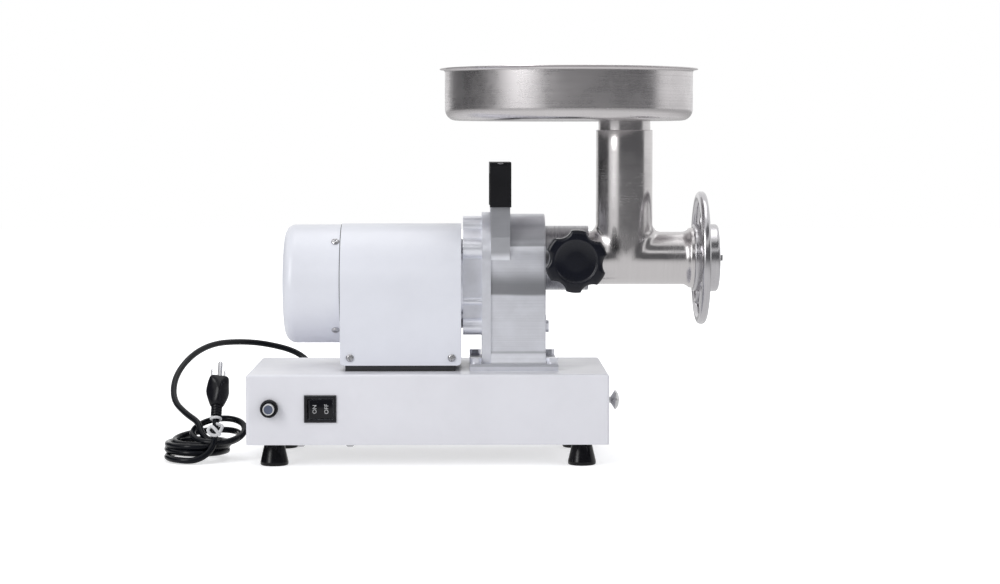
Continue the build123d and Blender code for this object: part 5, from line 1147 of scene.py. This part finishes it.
# ---- base and controls
@dataclass
class Base:
    """Feet, drawer knob and the small screws of the housings."""

    foot_x: Pair = (-198.9, 95.6)
    foot_y: float = 65.0
    foot_height: float = 22.0
    foot_radii: Pair = (13.5, 9.2)
    head_radius: float = 3.8
    head_height: float = 2.4
    cap_x: float = -141.4
    cap_reach: float = 58.0
    cover_x: Pair = (-126.8, -29.2)
    cover_y: float = 59.0
    cover_z: float = 102.0
    grip_screw: Point = (17.85, 45.8, 286.3)
    front: float = 120.5
    knob_z: float = 55.0

    def feet(self) -> Obj:
        """Makes four tapered rubber feet with a screw well below."""
        low, high = self.foot_radii
        height = self.foot_height
        outline = rounded([
            (12.0, 2.2, 0), (height, 2.2, 0), (height, high, 0.6), (3.4, low, 1.6), (0.0, low, 1.4),
            (0.0, 4.6, 0.8), (12.0, 4.6, 0),
        ], 5)
        model = model_turned("foot", outline, 56)
        places = [(at(x, side * self.foot_y, 0), UP, 0.0) for x in self.foot_x for side in (-1, 1)]
        return set_down("rubber_feet_turned", model, places, FEET_RUBBER)

    def screws(self) -> Obj:
        """Makes the screws of the end cap, the motor cover and the grip."""
        places = []
        for index, angle in enumerate((47, 133, 227, 313)):
            way = Vector((0, cos(radians(angle)), sin(radians(angle))))
            middle = at(self.cap_x, self.cap_reach * way.y, MOTOR_Z + self.cap_reach * way.z)
            places.append((middle, way, 0.35 + 0.5 * index))
        for index, (x, side) in enumerate((x, side) for x in self.cover_x for side in (-1, 1)):
            places.append((at(x, side * self.cover_y, self.cover_z), Vector((0, side, 0)), 0.7 * index + 0.2))
        x, y, z = self.grip_screw
        places += [(at(x, side * y, z), UP, 0.5 * side) for side in (-1, 1)]
        return set_down("cross_head_screws", pan_head(self.head_radius, self.head_height), places, ZINC)

    def drawer_knob(self) -> Obj:
        """Makes the drawer's turned mushroom knob with its screw."""
        inside, face = self.front - 1.5, self.front
        corners = [
            (inside - 2.4, 0, 0), (inside - 2.4, 3.8, 0.4), (inside, 3.8, 0), (inside, 2.0, 0), (face, 2.0, 0),
            (face, 4.8, 0.5), (face + 2.4, 3.0, 1.5), (face + 6.4, 3.0, 1.5), (face + 10.4, 9.3, 0.6),
            (face + 11.6, 9.5, 0.8), (face + 14.0, 6.0, 3.0), (face + 15.0, 0, 0),
        ]
        return lathe("drawer_knob_turned", Axis.X, corners, (0, 0, self.knob_z), POLISHED, 64, 6)

    def build(self) -> None:
        """Makes the base's pieces."""
        keep(self.feet(), "machine", "feet_rubber", "rubber_feet")
        keep(self.screws(), "machine", "zinc_steel", "housing_screws")
        keep(self.drawer_knob(), "drawer", "polished_steel", "drawer_knob")


@dataclass
class Controls:
    """Rocker with its lettering, and the reset breaker beside it."""

    switch_x: float = -153.4
    switch_z: float = 56.5
    pivot_y: float = -88.5
    rocker_half: float = 11.2
    crown: float = 3.2
    fall: float = 1.4
    tilt: float = 8.0
    breaker_x: float = -201.6
    breaker_z: float = 57.0
    button_back: float = -91.4
    button_front: float = -102.0

    def on_rocker(self, along: float, out: float, across: float) -> Vector:
        """Returns a point of the tilted rocker, out being away from the panel."""
        turn = radians(self.tilt)
        return at(
            self.switch_x + along * cos(turn) + out * sin(turn),
            self.pivot_y + along * sin(turn) - out * cos(turn),
            self.switch_z + across,
        )

    def rocker(self) -> Obj:
        """Makes the rocker: a shallow, rounded V with soft edges, and its pins."""
        half = self.rocker_half
        front = []
        steps = 24
        for step in range(steps + 1):
            along = -half + 2 * half * step / steps
            front.append((along, self.crown + self.fall * (sqrt((along / half) ** 2 + 0.02) - 0.14) / 0.87))
        outline = front + [(half, -0.6), (half - 4.0, -3.0), (4.0 - half, -3.0), (-half, -0.6)]
        rows = []
        for across, inset in ((-9.3, 0.7), (-9.1, 0.25), (-8.6, 0.0), (8.6, 0.0), (9.1, 0.25), (9.3, 0.7)):
            shrink = 1.0 - inset / half
            lifts = [(along * shrink, out - inset if out > 0 else out + inset) for along, out in outline]
            rows.append([self.on_rocker(along, out, across) for along, out in lifts])
        pins = [
            [self.on_rocker(1.5 * cos(turn), 1.0 + 1.5 * sin(turn), across) for turn in round_angles(20)]
            for across in (-10.3, 10.3)
        ]
        return wear(piece("rocker_cap", [closed(rows), closed(pins)], 30), GLOSS_BLACK)

    def letters(self, text: str, along: float) -> Obj:
        """Makes one printed word on the rocker, read from below."""
        data = bpy.data.curves.new("word_" + text, "FONT")
        data.body = text
        data.size = 5.4
        data.align_x = data.align_y = "CENTER"
        data.extrude = proud = 0.06
        flat = put("word_" + text, data)
        mesh = evaluated(flat)
        bpy.data.objects.remove(flat)
        rise = self.fall / self.rocker_half * (1 if along > 0 else -1)
        for point in mesh.vertices:
            local_x, local_y = -point.co.y, point.co.x
            out = self.crown + abs(along) * self.fall / self.rocker_half + rise * local_x + proud + point.co.z
            point.co = self.on_rocker(along + local_x, out, local_y)
        return wear(put("rocker_word_" + text.lower(), mesh), WHITE_PLASTIC)

    def breaker_ring(self) -> Obj:
        """Makes the breaker's body, neck and knurled ring nut."""
        y = -90.0
        outline = rounded([
            (y + 4.5, 0, 0), (y + 4.5, 8.05, 0), (y, 8.05, 0), (y, 8.4, 0), (y - 5.4, 8.4, 0.5), (y - 7.0, 7.3, 0.7),
            (y - 7.0, 6.15, 0.3), (y + 4.0, 6.15, 0), (y + 4.0, 0, 0),
        ], 4)
        x, z = self.breaker_x, self.breaker_z
        ring = turned(Axis.Y, outline, (x, 0, z), 64)
        rows = [
            [at(x + 8 * a * grow, depth, z + 15 * b * grow) for a, b in SQUARE]
            for depth, grow in ((-88.0, 0.96), (-87.6, 1.0), (-58.6, 1.0), (-58.0, 0.96))
        ]
        return wear(piece("breaker_body", [ring, closed(rows)], 30), BLACK_PLASTIC)

    def button(self) -> list[Obj]:
        """Makes the reset button: a white rim round a blue-grey dished centre."""
        back, y = self.button_back, self.button_front
        rim = [(back, 4.3, 0), (back, 5.3, 0), (y, 5.3, 0.6), (y, 4.3, 0.4)]
        cap = [(back, 0, 0), (back, 4.25, 0), (y + 0.3, 4.25, 0.5), (y + 0.8, 2.4, 0.8), (y + 0.9, 0, 0)]
        centre = (self.breaker_x, 0, self.breaker_z)
        parts = (("button_rim", rim, WHITE_PLASTIC), ("button_cap", cap, GREY_PLASTIC))
        return [lathe(name, Axis.Y, corners, centre, finish, 56) for name, corners, finish in parts]

    def build(self) -> None:
        """Makes the controls."""
        keep(self.rocker(), "rocker", "gloss_black", "switch_rocker")
        for text, along in (("ON", -5.6), ("OFF", 5.6)):
            keep(self.letters(text, along), "rocker", "white_plastic")
        keep(self.breaker_ring(), "machine", "black_plastic", "circuit_breaker")
        rim, cap = self.button()
        keep(rim, "button", "white_plastic", "reset_button")
        keep(cap, "button", "grey_plastic", "reset_button")


# ---- drive
@dataclass
class Drive:
    """Seam ring of the motor's end cap, and the lobed lock knob."""

    seam_x: float = -136.4
    knob_x: float = 89.4
    knob_radius: float = 30.0
    notch_radius: float = 10.0
    notch_circle: float = 35.5
    lobes: int = 6
    first_notch: float = -5.0
    knob_back: float = -58.0
    knob_face: float = -76.0
    dish_radius: float = 21.0

    def seam(self) -> Obj:
        """Makes a thin black ring in the seam between the end cap and the cover."""
        x = self.seam_x
        corners = [(x - 0.7, 56.2, 0), (x - 0.7, 58.12, 0), (x - 0.1, 58.12, 0), (x - 0.1, 56.2, 0)]
        return lathe("cap_gasket", Axis.X, corners, (0, 0, MOTOR_Z), BLACK_PLASTIC, 160)

    def lobed(self, angle: float) -> float:
        """Returns the knob's radius at an angle in radians, with soft corners beside the notches."""
        step = 2 * pi / self.lobes
        off = (angle - radians(self.first_notch) + step / 2) % step - step / 2
        inside = self.notch_radius**2 - (self.notch_circle * sin(off)) ** 2
        if inside <= 0:
            notch = self.knob_radius + 8.0 + 60.0 * (abs(off) - asin(self.notch_radius / self.notch_circle))
        else:
            notch = self.notch_circle * cos(off) - sqrt(inside)
        soft = 1.5
        gap = notch - self.knob_radius
        blend = max(0.0, 1.0 - abs(gap) / (4 * soft))
        return min(notch, self.knob_radius) - soft * blend * blend * 0.9

    def knob(self) -> Obj:
        """Makes the knob: lobed body with rounded rims, dished face and a skirt behind."""
        steps = 216
        back, face = self.knob_back, self.knob_face
        lobed_rows = [
            (back + 0.2, 9.0), (back, 4.2), (back - 0.3, 2.2), (back - 1.0, 0.8), (back - 2.0, 0.15), (back - 3.0, 0.0),
            (face + 3.4, 0.0), (face + 2.2, 0.25), (face + 1.1, 0.9), (face + 0.35, 2.0), (face, 3.6),
        ]
        rows = []
        for y, inset in lobed_rows:
            reaches = [(turn, self.lobed(turn) - inset) for turn in round_angles(steps)]
            rows.append([at(self.knob_x + far * cos(turn), y, OUTPUT_Z + far * sin(turn)) for turn, far in reaches])
        dish = self.dish_radius
        for y, radius in ((face + 0.15, dish + 0.2), (face + 0.1, dish - 0.2), (face + 0.5, dish - 0.9),
                          (face + 1.1, dish - 1.3), (face + 1.5, dish - 2.2), (face + 1.5, 9.0), (face + 1.5, 0.05)):
            rows.append(circle(Axis.Y, y, radius, (self.knob_x, 0, OUTPUT_Z), steps))
        skirt = rounded([(-44.0, 4.2, 0), (-44.0, 12.6, 0.8), (-50.0, 13.0, 0.5), (-60.0, 13.0, 0), (-60.0, 4.2, 0)], 4)
        parts = [closed(rows), turned(Axis.Y, skirt, (self.knob_x, 0, OUTPUT_Z), 72)]
        return wear(piece("knob_lobed", parts, 40), KNOB_BLACK)

    def build(self) -> None:
        """Makes the drive's own pieces."""
        keep(self.seam(), "machine", "black_plastic")
        keep(self.knob(), "lock_screw", "black_plastic", "lock_knob")


# ---- head and nut
@dataclass
class Head:
    """Grinding head drawn in one skin: barrel, feed neck and flared mouth."""

    barrel_radius: float = 26.0
    neck_x: float = 139.7
    neck_radius: float = 27.65
    neck_top: float = 320.2
    blend: float = 8.0
    tail: float = 76.3
    mouth: Pair = (204.0, 223.0)
    mouth_radius: float = 29.5
    rays: int = 288
    corner: float = 67.5
    reach: float = 38.0
    # How far the blend's lines run on along neck and barrel, against the straight way.
    pull: float = 1.12
    bore_radius: float = 21.0
    throat_radius: float = 23.0

    def on_barrel(self, x: float, around: float) -> Vector:
        """Returns a point of the barrel at an angle in radians from its top."""
        radius = self.barrel_radius
        return at(self.neck_x + x, radius * sin(around), OUTPUT_Z + radius * cos(around))

    def border(self, degrees: float) -> Pair:
        """Returns where a ray meets the border of the unrolled barrel, as (x, angle)."""
        side = 1.0 if degrees >= 0 else -1.0
        turn = abs(degrees)
        if turn <= self.corner:
            return self.reach, side * pi * turn / self.corner
        if turn >= 180 - self.corner:
            return -self.reach, side * pi * (180 - turn) / self.corner
        share = (turn - self.corner) / (180 - 2 * self.corner)
        return self.reach * (1 - 2 * share), side * pi

    def ray(self, degrees: float) -> Row:
        """Returns one line of the skin from the neck's top down, out along the barrel to the border."""
        theta = radians(degrees)
        side = 1.0 if degrees >= 0 else -1.0
        radius = self.barrel_radius
        fold = atan2(abs(sin(theta)), abs(cos(theta)))
        foot = OUTPUT_Z + radius * cos(fold) + self.blend
        x, y = self.neck_radius * cos(theta), self.neck_radius * sin(theta)
        line = [
            at(self.neck_x + x * (1 - 0.5 * drop / self.neck_radius), y * (1 - 0.5 * drop / self.neck_radius), level)
            for drop, level in ((1.0, self.neck_top), (0.2, self.neck_top - 0.25), (0.0, self.neck_top - 0.7))
        ]
        for share in (0.2, 0.4, 0.6, 0.8, 0.92):
            line.append(at(self.neck_x + x, y, self.neck_top + (foot - self.neck_top) * share))
        start = at(self.neck_x + x, y, foot)
        along = (self.neck_radius + self.blend) * cos(theta)
        around = fold + self.blend * abs(sin(theta)) / radius
        end = self.on_barrel(along, side * around)
        chord = (end - start).length * self.pull
        leave = Vector((0, 0, -1)) * chord
        arrive = Vector((cos(theta), side * cos(around) * abs(sin(theta)), -sin(around) * abs(sin(theta))))
        arrive = arrive.normalized() * chord
        for step in range(13):
            t = step / 12
            line.append(
                (2 * t**3 - 3 * t**2 + 1) * start + (t**3 - 2 * t**2 + t) * leave
                + (3 * t**2 - 2 * t**3) * end + (t**3 - t**2) * arrive
            )
        border_x, border_around = self.border(degrees)
        for step in range(1, 11):
            share = step / 10
            line.append(self.on_barrel(
                along + (border_x - along) * share, side * around + (border_around - side * around) * share
            ))
        return line

    def sleeve(self, sections: Sequence[Pair], degrees: Sequence[float]) -> Shell:
        """Returns a tube along X through (x, radius) sections, closed at its far end."""
        around = [self.border(turn)[1] for turn in degrees]
        rows = [
            [at(x, radius * sin(turn), OUTPUT_Z + radius * cos(turn)) for turn in around] for x, radius in sections
        ]
        return spread(rows, caps=(False, True))

    def shell(self) -> Obj:
        """Makes the closed outer skin."""
        step = 360 / self.rays
        angles = [-180 + step * (k + 1) for k in range(self.rays)]
        lines = [self.ray(angle) for angle in angles]
        rows = [[line[level] for line in lines] for level in range(len(lines[0]))]
        right = [angle for angle in angles if abs(angle) < self.corner - 1e-6] + [self.corner]
        left = [angle for angle in angles if abs(angle) > 180 - self.corner + 1e-6] + [180 - self.corner]
        for side in (left, right):
            side.sort(key=lambda angle: self.border(angle)[1])
        start, end = self.mouth
        flare = [
            (-8.0, 0.0), (-6.4, 0.12), (-4.8, 0.5), (-3.4, 1.15), (-2.2, 2.0), (-1.2, 2.8), (-0.4, 3.3), (0.6, 3.5),
        ]
        first = self.neck_x + self.reach
        outward = [(first + (start - 8.0 - first) * k / 3, self.barrel_radius) for k in range(3)]
        outward += [(start + x, self.barrel_radius + grow) for x, grow in flare]
        outward += [(end - back, self.mouth_radius - less) for back, less in ((0.8, 0.0), (0.2, 0.3), (0.0, 1.0))]
        inward = [(self.neck_x - self.reach - (self.neck_x - self.reach - self.tail) * k / 4, self.barrel_radius)
                  for k in range(4)]
        inward += [(self.tail + 0.5, self.barrel_radius), (self.tail, self.barrel_radius - 0.5)]
        parts = [spread(rows, caps=(True, False)), self.sleeve(outward, right), self.sleeve(inward, left)]
        return piece("head_skin", parts, 40)

    def hollow(self) -> list[Obj]:
        """Makes the tools that open the barrel, the plate's seat and the neck."""
        inside, narrow = self.bore_radius, self.throat_radius
        bore = [
            (70.0, 0), (70.0, inside), (96.0, inside), (96.0, 10.1), (103.0, 10.1), (103.0, inside), (210.0, inside),
            (210.0, 25.5), (217.0, 25.5), (217.0, 27.3), (224.0, 27.3), (224.0, 0),
        ]
        throat = [(201.0, 0), (201.0, narrow), (291.0, narrow), (291.0, 25.7), (321.5, 25.7), (321.5, 0)]
        return [
            piece("bore_tool", [turned(Axis.X, bore, (0, 0, OUTPUT_Z), 128)]),
            piece("throat_tool", [turned(Axis.Z, throat, (self.neck_x, 0, 0), 128)]),
        ]

    def build(self) -> None:
        """Makes the head."""
        made = cut(self.shell(), self.hollow())
        keep(wear(made, HEAD_STEEL), "head", "stainless", "grinder_head")


@dataclass
class Nut:
    """Hand-wheel nut: threaded ring, five spokes and a round rim."""

    left: float = 207.0
    right: float = 231.6
    radius: float = 33.0
    bore: float = 24.0
    thread: float = 29.8
    thread_right: float = 227.9
    pitch: float = 3.0
    wheel_x: float = 215.2
    wheel_radius: float = 65.2
    rim_size: Pair = (10.0, 8.6)
    spokes: int = 5
    first_spoke: float = 18.0

    def ring(self) -> Obj:
        """Makes the threaded ring with its rounded lip and the thread's grooves."""
        thread, inner = self.thread, self.thread_right
        corners = [
            (self.left, thread, 0.3), (self.left, self.radius, 1.2), (self.right, self.radius, 3.0),
            (self.right, self.bore, 1.6), (inner, self.bore, 0), (inner, thread, 0),
        ]
        for groove in range(6):
            x = 226.0 - groove * self.pitch
            corners += [(x, thread, 0), (x - 0.9, 30.6, 0.2), (x - 1.8, thread, 0)]
        return lathe("nut_ring", Axis.X, corners, (0, 0, OUTPUT_Z), NUT_STEEL, 144, 6)

    def spoke(self) -> Obj:
        """Makes one spoke along Y, for an axis along Z: oval, bowed and swelling where it meets ring and rim."""
        rows = []
        inner, outer = self.radius - 0.6, self.wheel_radius - self.rim_size[0] + 2.0
        for step in range(25):
            share = step / 24
            along = inner + (outer - inner) * share
            swell = 1.0 + 0.55 * (2 * share - 1) ** 6 + 0.12 * (2 * share - 1) ** 2
            bow = 1.1 * sin(pi * share)
            twist = radians(10.0) * (share - 0.5)
            rows.append([
                Vector((-(a * sin(twist) + b * cos(twist)), along, a * cos(twist) - b * sin(twist) + bow)) * MM
                for a, b in superellipse(2.5 * (0.6 + 0.4 * swell), 3.7 * swell, 2.6, 28)
            ])
        return piece("spoke", [closed(rows)], 50)

    def wheel(self) -> Obj:
        """Makes the rim and turns the spokes about the axis."""
        radial, axial = self.rim_size
        middle = self.wheel_radius - radial / 2
        outline = [(self.wheel_x + a, middle + b) for a, b in superellipse(axial / 2, radial / 2, 2.5, 36)]
        rim = piece("rim", [turned(Axis.X, outline, (0, 0, OUTPUT_Z), 160)], 60)
        middle, first = at(self.wheel_x, 0, OUTPUT_Z), radians(self.first_spoke)
        places = [(middle, Vector((1.0, 0.0, 0.0)), first + turn) for turn in round_angles(self.spokes)]
        spokes = set_down("spokes", self.spoke(), places, NUT_STEEL)
        work = bmesh.new()
        for some in (rim, spokes):
            work.from_mesh(some.data)
            bpy.data.objects.remove(some)
        mesh = bpy.data.meshes.new("wheel_welded")
        work.to_mesh(mesh)
        work.free()
        shade(mesh, 50)
        return wear(put("wheel_welded", mesh), NUT_STEEL)

    def build(self) -> None:
        """Makes the nut and its wheel."""
        keep(self.ring(), "hand_wheel", "stainless", "nut_hub")
        keep(self.wheel(), "hand_wheel", "stainless", "nut_wheel")


@dataclass
class Tray:
    """Round spun pan with a flared lip over the feed stem."""

    centre_x: float = 85.1
    radius: float = 121.0
    rim_radius: float = 126.0
    bottom: float = 329.4
    top: float = 379.8
    wall: float = 1.0
    bend: float = 11.0
    stem_x: float = 139.7
    hole_radius: float = 24.4

    def build(self) -> None:
        """Makes the pan with the hole over the stem."""
        low, high, wall, radius = self.bottom, self.top, self.wall, self.radius
        outline = rounded([
            (low, 0, 0), (low, radius, self.bend), (high - 1.6, radius, 3.2), (high - 1.0, self.rim_radius, 0.3),
            (high, self.rim_radius, 0.4), (high - 0.4, radius + 0.4, 2.0), (high - 3.6, radius - wall, 1.5),
            (low + wall, radius - wall, self.bend - wall), (low + wall, 0, 0),
        ], 9)
        made = piece("tray_spun", [turned(Axis.Z, outline, (self.centre_x, 0, 0), 256)], 40)
        hole = [(low - 3.0, 0), (low - 3.0, self.hole_radius), (low + 4.0, self.hole_radius), (low + 4.0, 0)]
        tool = piece("hole_tool", [turned(Axis.Z, hole, (self.stem_x, 0, 0), 96)])
        cut(made, [tool])
        keep(wear(made, TRAY_STEEL), "tray", "stainless", "tray_pan")


def main() -> None:
    """Builds the studio, dresses the nodes that stay and builds every other piece."""
    logging.basicConfig(level=logging.INFO, format="%(name)s: %(message)s")
    Studio().build()
    Cord().build()
    dress_nodes()
    for assembly in (Base(), Controls(), Drive(), Head(), Nut(), Tray()):
        assembly.build()
    bpy.context.view_layer.update()


if __name__ == "__main__":
    main()
